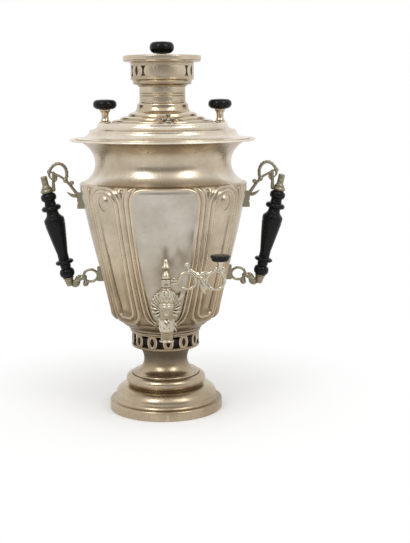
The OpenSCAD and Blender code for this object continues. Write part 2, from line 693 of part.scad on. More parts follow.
// Three groups of an oval between two waisted openings
group_turn = [-54, 66, 186];
module crown_drum() {
    neck_line = concat([[sleeve_out + 1.6, z_cove], [sleeve_out + 1.6, z_cove + 1.4],
        [sleeve_out + 4, z_cove + 2.6]],
        [for (a = [-80, -50, -20]) [drum_r - 4.6 + 1.8 * cos(a), z_cove + 4.6 + 1.8 * sin(a)]],
        [[drum_r - 3, z_cove + 5.4], [drum_r - 2.6, z_cove + 6.6], [drum_r - 0.6, z_drum - 1.2],
        [drum_r + 0.4, z_drum - 0.4], [drum_r + 0.4, z_drum + 0.5], [drum_r, z_drum + 1],
        [drum_r, z_plate - 3], [drum_r + 0.4, z_plate - 2.4], [drum_r + 0.4, z_plate - 1.4],
        [drum_r, z_plate - 1], [drum_r, z_plate]]);
    inner = [[drum_r - drum_wall, z_plate], [drum_r - drum_wall, z_drum - 0.4],
        [drum_r - 4.2, z_cove + 6.4],
        [sleeve_out + 1.6, z_cove + 3.4], [sleeve_in, z_cove + 1.5], [sleeve_in, z_cove]];
    mid = z_drum + (drum_h - 2) / 2;
    open_h = drum_h - 9;
    color(nickel) difference() {
        spin() polygon(concat(neck_line, inner));
        for (turn = group_turn) {
            pierce(turn, drum_r, mid) polygon(oval(4.6, open_h));
            for (side = [-1, 1]) pierce(turn + side * group_spread, drum_r, mid)
                polygon(hourglass(7, 2.2, open_h));
        }
    }
}

module crown_plate() {
    outline = concat([[mouth_r, z_plate], [plate_r - 3, z_plate]],
        round_out([plate_r - 0.6, z_plate + 0.6], [plate_r - 1, z_plate + 1.6], 2),
        [[plate_r, z_plate + 2.2], [plate_r, z_top - 1.5]],
        round_out([plate_r, z_top - 1.5], [plate_r - 1.5, z_top], 4),
        [[mouth_r, z_top]]);
    color(nickel) difference() {
        spin() polygon(outline);
        translate([0, 0, z_plate + 1.4]) hollow_disc(plate_r - 2, mouth_r + 1.4, plate_h - 2.8);
    }
}

// ---- Damper cap ----
z_damper = z_tube + gap;
damper_disc_h = 2;
dome_h = 3;
z_neck_top = z_top + damper_neck;

module damper() {
    skirt_out = tube_r - tube_wall - 0.4;
    color(nickel) {
        spin() polygon(concat([[bolt_r + 0.05, z_damper], [damper_r, z_damper], [damper_r, z_damper + 1]],
            round_out([damper_r, z_damper + 1], [10, z_damper + dome_h], 5),
            [[bolt_r + 0.05, z_damper + dome_h]]));
        translate([0, 0, z_damper - damper_skirt])
            hollow_disc(skirt_out, skirt_out - 1.2, damper_skirt + 0.1);
    }
}

module damper_stem() {
    low = z_damper + dome_h;
    color(nickel) spin() polygon([[0, z_damper - 1.6], [bolt_r + 3, z_damper - 1.6],
        [bolt_r + 3, z_damper - 0.1], [bolt_r, z_damper - 0.1], [bolt_r, low], [6, low], [6, low + 1.5],
        [3.4, low + 4], [3.4, z_neck_top - 7], [6.2, z_neck_top - 2], [6.2, z_neck_top],
        [bolt_r, z_neck_top], [bolt_r, z_neck_top + 9.5], [0, z_neck_top + 9.5]]);
}

module damper_knob() {
    color(ebony) translate([0, 0, z_neck_top]) knob(damper_knob_r, damper_knob_h, bolt_r + 0.05, 10);
}

// ---- Tap ----
z_pipe = z_shell + tap_rise;
barrel_top = z_pipe + barrel_up;
barrel_low = z_pipe - barrel_down;
spout_low = z_pipe - spout_drop;
z_key = barrel_top + key_up;
z_button = z_key + button_up;
module at_tap() translate([0, -tap_reach, 0]) children();
function plug_r(z) = lerp(plug_low_r, plug_top_r, (z - barrel_low) / (barrel_top - barrel_low));
wall_lean = atan((shell_r(z_pipe + 1) - shell_r(z_pipe - 19)) / 20);
pipe_back = shell_r(z_pipe) - shell_wall - 3;

module rosette() {
    ribs = 22;
    outline = [for (i = [0:4 * ribs - 1]) let (a = i * 90 / ribs, k = i % 4 == 0 ? 0.92 : 1)
        [rosette_w / 2 * k * cos(a), rosette_h / 2 * k * sin(a)]];
    color(tap_nickel) difference() {
        translate([0, -shell_r(z_pipe - 9), z_pipe - 9]) rotate([wall_lean, 0, 0]) union() {
            translate([0, 3, 0]) upright(9) polygon(outline);
            upright(6.4) polygon(oval(rosette_w * 0.62, rosette_h * 0.66, 24));
            for (i = [0:2:2 * ribs - 1]) rotate([0, i * 180 / ribs, 0]) translate([10, 0, 0])
                upright(5.2) square([5.2, 1.3], center = true);
        }
        shell_core(0.1);
        translate([0, -tap_reach, z_pipe]) rotate([-90, 0, 0]) cylinder(r = pipe_r + 0.05, h = tap_reach);
    }
}

module tap_body() {
    // Below the pipe the outline's heights are shares of the spout's drop
    at = function(t) spout_low + t * spout_drop;
    spout = [[0, at(0)], [barrel_r + 0.5, at(0)], [barrel_r + 0.5, at(0.027)], [barrel_r - 1.3, at(0.067)],
        [barrel_r - 1.5, at(0.257)], [barrel_r - 0.4, at(0.279)], [barrel_r + 1.2, at(0.38)],
        [barrel_r + 0.4, at(0.446)], [barrel_r + 1, at(0.536)], [barrel_r - 0.3, at(0.614)],
        [barrel_r - 0.7, at(0.658)], [barrel_r - 0.1, at(0.967)]];
    barrel = [[barrel_r + 0.8, z_pipe - 0.8], [barrel_r + 0.8, z_pipe + 0.4],
        [barrel_r, z_pipe + 1], [barrel_r + 0.8, z_pipe + 1.8], [barrel_r + 0.8, z_pipe + 3],
        [barrel_r, z_pipe + 3.8], [barrel_r + 0.4, barrel_top - 4], [barrel_r - 0.5, barrel_top],
        [0, barrel_top]];
    color(tap_nickel) difference() {
        union() {
            at_tap() spin() polygon(concat(spout, barrel));
            translate([0, -tap_reach, z_pipe]) rotate([-90, 0, 0])
                cylinder(r = pipe_r, h = tap_reach - pipe_back);
        }
        at_tap() spin() polygon([[0, barrel_low], [plug_r(barrel_low) + plug_fit, barrel_low],
            [plug_r(barrel_top + cut) + plug_fit, barrel_top + cut], [0, barrel_top + cut]]);
        at_tap() translate([0, 0, spout_low - cut])
            cylinder(r = spout_bore, h = barrel_low - spout_low + 2 * cut);
        translate([0, -tap_reach, z_pipe]) rotate([-90, 0, 0]) cylinder(r = water_bore, h = tap_reach);
    }
}

module tap_plug() {
    low = barrel_low + gap;
    z0 = barrel_top;
    stem_r = plug_top_r - 1.2;
    // Above the barrel the outline's heights are shares of the finial's
    at = function(t) z0 + t * finial_h;
    line = [[0, low], [plug_r(low), low], [plug_r(z0), z0], [plug_r(z0), z0 + gap],
        [barrel_r - 2, z0 + gap], [barrel_r - 1.6, z0 + 1.4], [stem_r + 0.6, z0 + 2.6], [stem_r, z0 + 3],
        [stem_r, at(0.346)], [stem_r + 1.4, at(0.372)], [stem_r + 1.8, at(0.404)],
        [stem_r + 0.4, at(0.441)], [stem_r + 0.6, at(0.479)], [2.6, at(0.601)], [2.4, at(0.644)],
        [3.4, at(0.67)], [5.4, at(0.707)], [5.2, at(0.745)], [3, at(0.891)], [2.4, at(0.947)],
        [1.5, at(0.989)], [0, at(1)]];
    color(tap_nickel) at_tap() difference() {
        spin() polygon(line);
        translate([0, 0, low - cut]) cylinder(r = water_bore + 0.2, h = z_pipe + water_bore + cut - low);
        translate([0, 0, z_pipe]) rotate([0, -90, 0]) cylinder(r = water_bore, h = 12);
    }
}

post_x = key_reach;
ring1_x = key_reach - 40.2;
ring2_x = key_reach - 6;

module key_branch() {
    hub_r = plug_top_r - 1.15;
    ring2_left = ring2_x - key_ring2_r;
    s_ribbon = bend([ring1_x, 19.8], [ring1_x + 0.7, 11], [ring2_left - 6.6, 8.5], [ring2_left + 0.6, -4.5]);
    leaves = [
        [[ring1_x + 6, 7], [ring1_x + 12, 10], [ring1_x + 16, 5], [ring1_x + 10.5, 2]],
        [[ring1_x + 12, 6], [ring1_x + 19, 9.4], [ring2_left + 5.6, 10.4], [ring2_left + 4, 7.4],
            [ring1_x + 19, 5.4], [ring1_x + 15, 2.6]],
        [[ring1_x + 16, 3], [ring1_x + 17, -8], [ring1_x + 21.4, -17.5], [ring1_x + 24, -9],
            [ring1_x + 22, -1]],
        [[ring1_x - 2, 18.4], [ring1_x + 1, 24.5], [ring1_x + 5, 15]],
        [[post_x - 5, key_ring2_r - 2], [post_x - 2, 16], [post_x + 2, 16], [post_x + 3, key_ring2_r - 3.5]]];
    color(tap_nickel) at_tap() translate([0, 0, z_key]) {
        difference() {
            union() {
                translate([0, 0, -6.4]) cylinder(r = hub_r + 1.7, h = 8.4, $fn = 48);
                upright(key_t) translate([hub_r, -6.2]) square([ring1_x - key_ring1_r - hub_r + 1, 8]);
            }
            translate([0, 0, -8]) cylinder(r = hub_r, h = 12, $fn = 48);
        }
        upright(key_t + 0.2) difference() {
            translate([ring1_x, 0]) circle(r = key_ring1_r, $fn = 48);
            translate([ring1_x, 0]) circle(r = key_ring1_r - 2.2, $fn = 48);
        }
        upright(key_t) difference() {
            translate([ring2_x, 0]) circle(r = key_ring2_r, $fn = 48);
            translate([ring2_x, 0]) circle(r = key_ring2_r - 2.4, $fn = 48);
        }
        upright(key_t + 0.4) polygon(strip(s_ribbon, 4));
        for (leaf = leaves) upright(key_t - 0.4) polygon(leaf);
        translate([post_x, 0, 0]) spin() polygon([[0, 13], [2.6, 13], [2.6, 18], [5, button_up - 0.8],
            [5, button_up], [2, button_up], [2, button_up + 4.5], [0, button_up + 4.5]]);
    }
}

module key_button() {
    edge = [button_r, button_h - 2.2];
    outline = concat([[2.05, 0], [button_r - 2.6, 0], [button_r - 2, 0.4], edge],
        round_out(edge, [button_r - 1.6, button_h - 0.8], 3), [[0, button_h], [0, 5], [2.05, 5]]);
    color(ebony) at_tap() translate([post_x, 0, z_button]) spin() polygon(outline);
}

// ---- Handles ----
z_upper = z_shoulder - upper_drop;
z_lower = z_taper + lower_rise;
upper_wall = shell_r(z_upper);
lower_wall = shell_r(z_lower);
grip_top = [upper_wall + reach_top, z_upper + 11.7];
grip_low = [lower_wall + reach_low, z_lower - 9.5];
grip_len = norm(grip_top - grip_low);
grip_lean = atan((grip_top[0] - grip_low[0]) / (grip_top[1] - grip_low[1]));
washer_h = 1.4;
boss_h = 5.2;
eye_h = 4;
module on_side(side) mirror([side < 0 ? 1 : 0, 0, 0]) children();
// On the grip's own axis, s above the grip's foot
module at_grip(side, s = 0) {
    on_side(side) translate([grip_low[0], 0, grip_low[1]]) rotate([0, grip_lean, 0])
        translate([0, 0, s]) children();
}

module upper_bracket(side) {
    leg_x = reach_top - 8.4;
    neck_p = [reach_top * 0.475, 26];
    arch = bend(neck_p, [reach_top * 0.3, 46], [reach_top * 0.76, 58], [leg_x + 5.6, 36]);
    brace = bend(neck_p, [neck_p[0] + 4, 31], [leg_x - 6, 32], [leg_x, 36], 6);
    stem = bend([5, 6], [9, 9], [13, 18], neck_p, 6);
    block_w = cast_t + 3;
    block_x = upper_wall + 7.4;
    block_h = 22;
    color(old_brass) {
        on_side(side) {
            translate([upper_wall, 0, z_upper]) {
                upright(cast_t - 0.2) polygon(strip(stem, 4.4));
                upright(cast_t - 0.6) polygon(strip(arch, 2.8));
                upright(cast_t - 1) polygon(strip(brace, 2.6));
                upright(cast_t - 0.4) translate([neck_p[0], neck_p[1]]) circle(r = 3.2, $fn = 24);
                upright(cast_t - 1.2) translate([13.4, 22.5]) circle(r = 3.4, $fn = 24);
                upright(cast_t - 0.8) translate([leg_x - 2, 15]) square([4, 20.5]);
                upright(cast_t - 1.4) polygon([[6, 4], [21, 11], [9, 14]]);
            }
            difference() {
                translate([upper_wall - 6, -block_w / 2, z_upper - block_h / 2])
                    cube([block_x - upper_wall + 6, block_w, block_h]);
                shell_core(0.1);
            }
        }
        difference() {
            union() {
                at_grip(side, grip_len) cylinder(r = 9, h = eye_h, $fn = 48);
                on_side(side) translate([upper_wall + leg_x, 0, z_upper + 15.4])
                    upright(cast_t) square([5, 3], center = true);
            }
            at_grip(side, grip_len - 2 * cut) cylinder(r = rod_r + rod_fit, h = eye_h + 8, $fn = 48);
        }
    }
}

module lower_bracket(side) {
    loop_c = [14.8, -1.4];
    link = bend(loop_c + [8, -2], [loop_c[0] + 16, -2], [reach_low - 12, -12], [reach_low - 2, -10.5], 8);
    nodule = [for (p = [[2, -7.6], [5, -13.6], [10, -12.6], [9, -4.6]]) loop_c + p];
    color(old_brass) {
        on_side(side) translate([lower_wall, 0, z_lower]) {
            upright(cast_t - 0.6) difference() {
                polygon(oval_arc(loop_c, 10.5, 9.2, 0, 350, 35));
                polygon(oval_arc(loop_c, 7.9, 6.6, 0, 350, 35));
            }
            upright(cast_t - 1.4) polygon(nodule);
        }
        on_side(side) difference() {
            translate([lower_wall - 6, -cast_t / 2 - 0.8, z_lower - 9]) cube([12.2, cast_t + 1.6, 20]);
            shell_core(0.1);
        }
        difference() {
            union() {
                on_side(side) translate([lower_wall, 0, z_lower])
                    upright(cast_t - 1) polygon(strip(link, 6.4));
                at_grip(side, -boss_h) cylinder(r1 = 4.4, r2 = 6.2, h = 2 * boss_h, $fn = 48);
            }
            at_grip(side, -boss_h + 1) cylinder(r = rod_r + rod_fit, h = 3 * boss_h, $fn = 48);
        }
    }
}

module washer(side, s, r) {
    color(old_brass) at_grip(side, s) hollow_disc(r, rod_r + rod_fit, washer_h);
}

wood_low = boss_h + washer_h;
wood_top = grip_len - washer_h;
wood_len = wood_top - wood_low;
module grip(side) {
    // Turned outline, as shares of the wood's length
    at = function(t) wood_low + t * wood_len;
    line = concat([[6.5, at(0)]], bead(at(0.005), at(0.105), 6.4, 9.9), [[7, at(0.13)]],
        bead(at(0.155), at(0.21), 7.2, 12), [[7, at(0.24)], [7.1, at(0.29)]],
        [for (t = [0.1:0.1:0.9]) [lerp(7.1, grip_r, pow(t, 0.8)), at(lerp(0.29, 0.62, t))]],
        bead(at(0.62), at(0.7), grip_r - 0.4, grip_r, 6), [[10.5, at(0.725)], [7.8, at(0.755)]],
        bead(at(0.785), at(0.855), 7.8, 12.8), [[7.2, at(0.885)]],
        bead(at(0.905), at(0.99), 7.2, 10.2), [[6.8, at(1)]]);
    color(ebony) at_grip(side) spin()
        polygon(concat([[rod_r + rod_fit, at(0)]], line, [[rod_r + rod_fit, at(1)]]));
}

module grip_rod(side) {
    color(steel) at_grip(side, -boss_h + 1.2)
        cylinder(r = rod_r, h = grip_len + boss_h + eye_h + 7, $fn = 48);
}

module cap_nut(side) {
    color(old_brass) at_grip(side, grip_len + eye_h) spin()
        polygon([[rod_r + rod_fit, 0], [6.6, 0], [6.6, 1.4], [5, 3], [4.3, 5], [4.4, 15], [3.6, 16.4],
            [0, 16.8], [0, 8.6], [rod_r + rod_fit, 8.6]]);
}

skirt();
pedestal();
air_ring();
ash_cup();
shell();
neck();
water_floor();
firebox();
fire_tube();
grate();
rosette();
tap_body();
tap_plug();
key_branch();
key_button();
upper_bracket(-1);  // upper_bracket_left
upper_bracket(1);  // upper_bracket_right
lower_bracket(-1);  // lower_bracket_left
lower_bracket(1);  // lower_bracket_right
grip(-1);  // grip_left
grip(1);  // grip_right
grip_rod(-1);  // grip_rod_left
grip_rod(1);  // grip_rod_right
washer(-1, wood_top, 8);  // top_washer_left
washer(1, wood_top, 8);  // top_washer_right
washer(-1, boss_h, 7.4);  // low_washer_left
washer(1, boss_h, 7.4);  // low_washer_right
cap_nut(-1);  // cap_nut_left
cap_nut(1);  // cap_nut_right
lid();
knob_stem(-1);  // knob_stem_left
knob_stem(1);  // knob_stem_right
lid_knob(-1);  // lid_knob_left
lid_knob(1);  // lid_knob_right
knob_bolts();
vent_seat();
vent_cap();
vent_washer();
crown_sleeve();
crown_drum();
crown_plate();
damper();
damper_stem();
damper_knob();
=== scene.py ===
import math

import bmesh
import bpy
import numpy as np
from bpy.props import FloatProperty, FloatVectorProperty, IntProperty, PointerProperty
from bpy.types import Operator, Panel, PropertyGroup
from mathutils import Matrix, Vector


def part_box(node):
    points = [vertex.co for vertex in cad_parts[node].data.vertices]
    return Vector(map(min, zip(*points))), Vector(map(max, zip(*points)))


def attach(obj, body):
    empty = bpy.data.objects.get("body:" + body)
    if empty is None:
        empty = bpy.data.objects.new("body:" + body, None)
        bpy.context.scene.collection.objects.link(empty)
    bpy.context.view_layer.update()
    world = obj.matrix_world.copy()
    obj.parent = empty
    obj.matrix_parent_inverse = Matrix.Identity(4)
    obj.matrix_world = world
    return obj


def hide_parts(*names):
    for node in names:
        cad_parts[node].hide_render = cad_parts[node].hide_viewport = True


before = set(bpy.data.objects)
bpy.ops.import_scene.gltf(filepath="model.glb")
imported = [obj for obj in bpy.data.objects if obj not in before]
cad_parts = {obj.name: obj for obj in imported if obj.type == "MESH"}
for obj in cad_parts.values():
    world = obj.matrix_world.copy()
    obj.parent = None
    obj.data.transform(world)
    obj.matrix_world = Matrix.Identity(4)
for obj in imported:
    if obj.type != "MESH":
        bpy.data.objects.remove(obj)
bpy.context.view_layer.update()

bl_info = {
    "name": "Charcoal samovar",
    "version": (1, 0, 0),
    "blender": (4, 5, 0),
    "location": "3D View > Sidebar > Samovar",
    "description": "Builds the metal, wood and stage of a charcoal samovar around its frame",
    "category": "Object",
}

MM = 0.001
SIDES = {"left": -1, "right": 1}


# ---- Levels and radii of the frame, in millimetres ----
def low(node):
    """The lowest corner of a node's box."""
    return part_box(node)[0] / MM


def high(node):
    """The highest corner of a node's box."""
    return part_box(node)[1] / MM


# Sizes that the nodes' boxes don't give
SHEET_THICK = 1.2
SHOULDER_H = 9
CUP_H = 25.5
SPIGOT_H = 8
SPOUT_DROP = 44.8
BARREL_UP = 20
BUTTON_UP = 23.4
SLEEVE_LIP = 0.7
SCREW_R = 2.05
PIPE_R = 6.5
PORT_R = 3
SPOUT_BORE_R = 4.2
PLUG_TOP_R = 6.0
PLUG_FOOT_R = 5.2
FIT = 0.05
SHOULDER_R = 108.3
LOW_R = 69
RING_R = 44.5
RIM_R = 119.3
THROAT_R = 88.1
DRUM_R = 40.3

Z_SKIRT = high("skirt").z
Z_RING = low("air_ring").z
Z_SHELL = low("shell").z
Z_NECK = low("neck").z
Z_SHOULDER = Z_NECK - SHOULDER_H
Z_TAPER = Z_SHELL + CUP_H
Z_FLAT = low("knob_stem_right").z
Z_COLLAR = high("lid").z
Z_LID = low("lid").z + SPIGOT_H
Z_CROWN = low("crown_sleeve").z
Z_COVE = high("crown_sleeve").z
Z_PLATE = low("crown_plate").z
Z_TOP = high("crown_plate").z
Z_PIPE = low("tap_body").z + SPOUT_DROP
Z_BARREL = Z_PIPE + BARREL_UP
Z_KEY = low("key_button").z - BUTTON_UP
TAP_Y = (low("tap_plug").y + high("tap_plug").y) / 2
SKIRT_R = high("skirt").x
PLATE_R = high("crown_plate").x
SLEEVE_R = high("crown_sleeve").x - SLEEVE_LIP
KNOB_X = (low("lid_knob_right").x + high("lid_knob_right").x) / 2


# ---- Outlines: lists of (radius, height) ----
def lerp(a, b, t):
    """The value at the share t of the way from a to b."""
    return a + (b - a) * t


def arc(centre, rx, rz, start, end, steps=12):
    """A stretch of an ellipse, its angles in degrees."""
    turn = np.radians(np.linspace(start, end, steps + 1))
    return list(zip(centre[0] + rx * np.cos(turn), centre[1] + rz * np.sin(turn)))


def round_out(p, q, steps=9):
    """A convex quarter round from p, first up and then in to q."""
    return arc((q[0], p[1]), p[0] - q[0], q[1] - p[1], 0, 90, steps)


def round_in(p, q, steps=9):
    """A hollow quarter round from p, first in and then up to q."""
    turn = np.radians(np.linspace(0, 90, steps + 1))
    return [(p[0] + (q[0] - p[0]) * math.sin(a), q[1] + (p[1] - q[1]) * math.cos(a)) for a in turn]


def oval(rx, rz, steps, centre=(0, 0)):
    """The points round a closed ellipse."""
    turn = np.linspace(0, 2 * math.pi, steps, endpoint=False)
    return [(centre[0] + rx * math.cos(a), centre[1] + rz * math.sin(a)) for a in turn]


def hourglass(waist, flare, half_tall):
    """The outline of an opening with a narrow waist, wider by the flare at its ends."""
    y = np.linspace(-1, 1, 15)
    half = (waist + flare * y * y) / 2
    return list(zip(half, half_tall * y)) + list(zip(-half[::-1], half_tall * y[::-1]))


def bead(z0, z1, r, big, steps=12):
    """A turned bead between two heights."""
    turn = np.linspace(0, math.pi, steps + 1)
    return [(r + (big - r) * math.sin(a), (z0 + z1) / 2 - (z1 - z0) / 2 * math.cos(a)) for a in turn]


def bend(a, b, c, d, steps=14):
    """A cubic curve with its ends at a and d."""
    a, b, c, d = (np.array(p, float) for p in (a, b, c, d))
    share = np.linspace(0, 1, steps + 1)[:, None]
    rest = 1 - share
    curve = rest**3 * a + 3 * rest**2 * share * b + 3 * rest * share**2 * c + share**3 * d
    return [tuple(p) for p in curve]


def offsets(r, z, *rows, unit=1):
    """Outline points, each given by its radius beyond r and its height above z in units."""
    return [(r + out, z + up * unit) for out, up in rows]


def distinct(points, least=0.02):
    """The points without those that lie on their neighbour."""
    kept = [points[0]]
    for p in points[1:]:
        if math.dist(p, kept[-1]) > least:
            kept.append(p)
    return kept


def sheet(path, thick):
    """A sheet's outline: the path, and back along its left side at the sheet's thickness."""
    path = np.array(distinct(path), float)
    step = np.diff(path, axis=0)
    step /= np.linalg.norm(step, axis=1)[:, None]
    before = np.vstack([step[:1], step])
    after = np.vstack([step, step[-1:]])
    middle = before + after
    middle /= np.linalg.norm(middle, axis=1)[:, None]
    normal = np.stack([-middle[:, 1], middle[:, 0]], 1)
    straight = np.stack([-before[:, 1], before[:, 0]], 1)
    reach = np.maximum(0.5, (normal * straight).sum(1))
    inner = path + thick * normal / reach[:, None]
    return [tuple(p) for p in path] + [tuple(p) for p in inner[::-1]]


def soften(outline, radius=0.35, steps=3, least=14):
    """Rounds the corners of an outline that turn by more than the least angle."""
    outline = distinct(outline)
    count = len(outline)
    on_axis = outline[0][0] < 1e-6 and outline[-1][0] < 1e-6
    soft = []
    for i, here in enumerate(outline):
        p = np.array(here)
        back = np.array(outline[i - 1]) - p
        ahead = np.array(outline[(i + 1) % count]) - p
        ends = on_axis and i in (0, count - 1)
        lean = -back @ ahead / np.linalg.norm(back) / np.linalg.norm(ahead)
        turn = math.degrees(math.acos(np.clip(lean, -1, 1)))
        if ends or turn < least:
            soft.append(tuple(p))
            continue
        a = p + back * min(0.45, radius / np.linalg.norm(back))
        b = p + ahead * min(0.45, radius / np.linalg.norm(ahead))
        for t in np.linspace(0, 1, steps + 1):
            soft.append(tuple((1 - t) ** 2 * a + 2 * t * (1 - t) * p + t * t * b))
    return soft


# ---- Meshes: a form is (vertices, faces), in millimetres ----
def spin(outline, turns=160, relief=None):
    """The form of an outline spun about Z. It closes on itself or on the axis.
    relief(angle, radius, height) moves a point outwards."""
    outline = np.array(outline, float)
    on_axis = outline[0][0] < 1e-6 and outline[-1][0] < 1e-6
    angle = np.arange(turns) * 2 * math.pi / turns
    verts, rings = [], []
    for r, z in outline:
        start = len(verts)
        if r < 1e-6:
            rings.append([start] * turns)
            verts.append((0, 0, z))
            continue
        out = np.full(turns, r) if relief is None else r + relief(angle, r, z)
        rings.append(list(range(start, start + turns)))
        verts.extend(zip(out * np.sin(angle), -out * np.cos(angle), np.full(turns, z)))
    pairs = list(zip(rings, rings[1:]))
    if not on_axis:
        pairs.append((rings[-1], rings[0]))
    faces = []
    for a, b in pairs:
        for i in range(turns):
            j = (i + 1) % turns
            corners = [a[i], a[j], b[j], b[i]]
            face = [v for k, v in enumerate(corners) if v not in corners[:k]]
            if len(face) > 2:
                faces.append(face)
    return verts, faces


def turned(outline, rounding=0.3, turns=72):
    """The form of an outline spun about Z, with its corners rounded."""
    return spin(soften(outline, rounding), turns)


def tube(path, width, thick=None, sides=12, closed=False, up=(0, 1, 0)):
    """The form of a rod along a path of 3-D points: width across it in its plane and thick along up.
    Both are a number, or one for each point. Its ends are rounded."""
    path = np.array(path, float)
    count = len(path)
    width = np.broadcast_to(np.array(width, float), count) / 2
    thick = width if thick is None else np.broadcast_to(np.array(thick, float), count) / 2
    up = np.array(up, float)
    if closed:
        ahead = np.roll(path, -1, axis=0) - np.roll(path, 1, axis=0)
    else:
        ahead = np.gradient(path, axis=0)
    ahead /= np.linalg.norm(ahead, axis=1)[:, None]
    side = np.cross(ahead, up)
    side /= np.linalg.norm(side, axis=1)[:, None]
    rise = np.cross(side, ahead)
    turn = np.arange(sides) * 2 * math.pi / sides
    rings = []

    def ring(i, share, shift):
        centre = path[i] + ahead[i] * shift
        across = side[i] * width[i] * share
        along = rise[i] * thick[i] * share
        rings.append([centre + math.cos(a) * across + math.sin(a) * along for a in turn])

    caps = [] if closed else [(0.35, 0.93), (0.75, 0.66), (0.97, 0.25)]
    for share, shift in caps:
        ring(0, share, -width[0] * shift)
    for i in range(count):
        ring(i, 1, 0)
    for share, shift in reversed(caps):
        ring(count - 1, share, width[-1] * shift)
    verts = [tuple(p) for r in rings for p in r]
    last = len(rings)
    faces = []
    for k in range(last if closed else last - 1):
        m = (k + 1) % last
        for i in range(sides):
            j = (i + 1) % sides
            faces.append([k * sides + i, k * sides + j, m * sides + j, m * sides + i])
    if not closed:
        faces.append(list(range(sides))[::-1])
        faces.append([(last - 1) * sides + i for i in range(sides)])
    return verts, faces


def ball(centre, radii):
    """The form of an ellipsoid."""
    radii = (radii,) * 3 if isinstance(radii, (int, float)) else radii
    form = spin(arc((0, 0), 1, 1, -90, 90, 10), 16)
    return placed(form, Matrix.Translation(centre) @ Matrix.Diagonal((*radii, 1)))


def prism(outline, depth, low_y=None):
    """The form of a flat outline in XZ, depth thick about Y = 0 or up from low_y."""
    start = -depth / 2 if low_y is None else low_y
    count = len(outline)
    verts = [(x, start, z) for x, z in outline] + [(x, start + depth, z) for x, z in outline]
    faces = [list(range(count)), [count + i for i in range(count)][::-1]]
    for i in range(count):
        j = (i + 1) % count
        faces.append([i, count + i, count + j, j])
    return verts, faces


def placed(form, matrix):
    """A form moved by a matrix whose shift is in millimetres."""
    verts, faces = form
    moved = np.array(verts) @ np.array(matrix.to_3x3()).T + np.array(matrix.translation)
    return [tuple(p) for p in moved], faces


def shifted(form, x=0.0, y=0.0, z=0.0):
    """A form moved along the axes."""
    return placed(form, Matrix.Translation((x, y, z)))


def around(turn, r, z):
    """The matrix that sets a form at the radius r and the height z, turned about Z from the front."""
    return Matrix.Rotation(turn, 4, "Z") @ Matrix.Translation((0, -r, z))


def upright(points, y=0.0):
    """Points (x, z) as places in space."""
    return [(x, y, z) for x, z in points]


def joined(forms):
    """Several forms as one."""
    verts, faces = [], []
    for v, f in forms:
        start = len(verts)
        verts.extend(v)
        faces.extend([i + start for i in face] for face in f)
    return verts, faces


def mirrored(form, side):
    """A form on the other side of the YZ plane where side is negative."""
    verts, faces = form
    if side > 0:
        return form
    return [(-x, y, z) for x, y, z in verts], [face[::-1] for face in faces]


def solid(name, form, sharp=40):
    """An object from a form, with outward faces, smooth up to the sharp angle."""
    verts, faces = form
    mesh = bpy.data.meshes.new(name)
    mesh.from_pydata([(x * MM, y * MM, z * MM) for x, y, z in verts], [], faces)
    tidy = bmesh.new()
    tidy.from_mesh(mesh)
    bmesh.ops.recalc_face_normals(tidy, faces=tidy.faces)
    tidy.to_mesh(mesh)
    tidy.free()
    mesh.shade_smooth()
    mesh.set_sharp_from_angle(angle=math.radians(sharp))
    made = bpy.data.objects.new(name, mesh)
    bpy.context.scene.collection.objects.link(made)
    return made


def bake_modifiers(made, sharp=40):
    """Applies an object's modifiers to its mesh."""
    bpy.context.view_layer.update()
    graph = bpy.context.evaluated_depsgraph_get()
    mesh = bpy.data.meshes.new_from_object(made.evaluated_get(graph))
    made.modifiers.clear()
    made.data = mesh
    mesh.shade_smooth()
    mesh.set_sharp_from_angle(angle=math.radians(sharp))
    return made


def casting(name, forms, grain=0.4, blend=3):
    """An object of several forms run together as in a casting, with soft joins."""
    made = solid(name, joined(forms), 180)
    remesh = made.modifiers.new("run_together", "REMESH")
    remesh.mode = "VOXEL"
    remesh.voxel_size = grain * MM
    if blend:
        smooth = made.modifiers.new("soften", "SMOOTH")
        smooth.iterations = blend
        smooth.factor = 0.5
    return bake_modifiers(made, 180)


def bored(made, cutters, sharp=40):
    """Cuts the cutters' shapes out of an object."""
    tool = solid(made.name + "_cutter", joined(cutters))
    cut = made.modifiers.new("bore", "BOOLEAN")
    cut.object = tool
    cut.operation = "DIFFERENCE"
    cut.solver = "EXACT"
    bake_modifiers(made, sharp)
    bpy.data.objects.remove(tool)
    return made


def piercing(outline, turn, r, z):
    """The form that pierces a wall of the radius r with an upright outline."""
    return placed(prism(outline, 12), around(turn, r, z))


def cylinder(radius, z0, z1, turns=48):
    """The form of a plain round bar about Z, used to cut bores."""
    return spin([(0, z0), (radius, z0), (radius, z1), (0, z1)], turns)


def finish(slot):
    """The material made for a slot. The frame's own plain materials keep the slots' bare names."""
    return bpy.data.materials["finish_" + slot]


def dress(made, body, slot, *nodes):
    """Gives a piece its body and its material, and hides the nodes that it stands for."""
    made.data.materials.clear()
    made.data.materials.append(finish(slot))
    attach(made, body)
    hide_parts(*nodes)
    return made


def weather(made, age_and_shade=None, soot_and_shade=None, highlight_bands=None, axis_y=0.0):
    """Writes a piece's shares of tarnish and painted shade, of soot and painted shade, and of painted
    highlight, from functions of radius and height in millimetres."""
    points = np.empty(len(made.data.vertices) * 3)
    made.data.vertices.foreach_get("co", points)
    x, y, z = points.reshape(-1, 3).T / MM
    for label, share in (("age_and_shade", age_and_shade), ("soot_and_shade", soot_and_shade), ("panel", highlight_bands)):
        if share is not None:
            values = np.clip(np.broadcast_to(share(np.hypot(x, y - axis_y), z), x.shape), 0, 1)
            write_share(made, label, values)
    return made


def write_share(made, label, values):
    """Writes a share for each vertex of a piece, under a label that the finishes read."""
    shares = made.data.attributes.new(label, "FLOAT", "POINT")
    shares.data.foreach_set("value", np.ascontiguousarray(values, dtype=np.float32))


def near(z, middle, spread):
    """A share of 1 at the middle that falls away softly over the spread."""
    return np.exp(-((z - middle) / spread) ** 2)


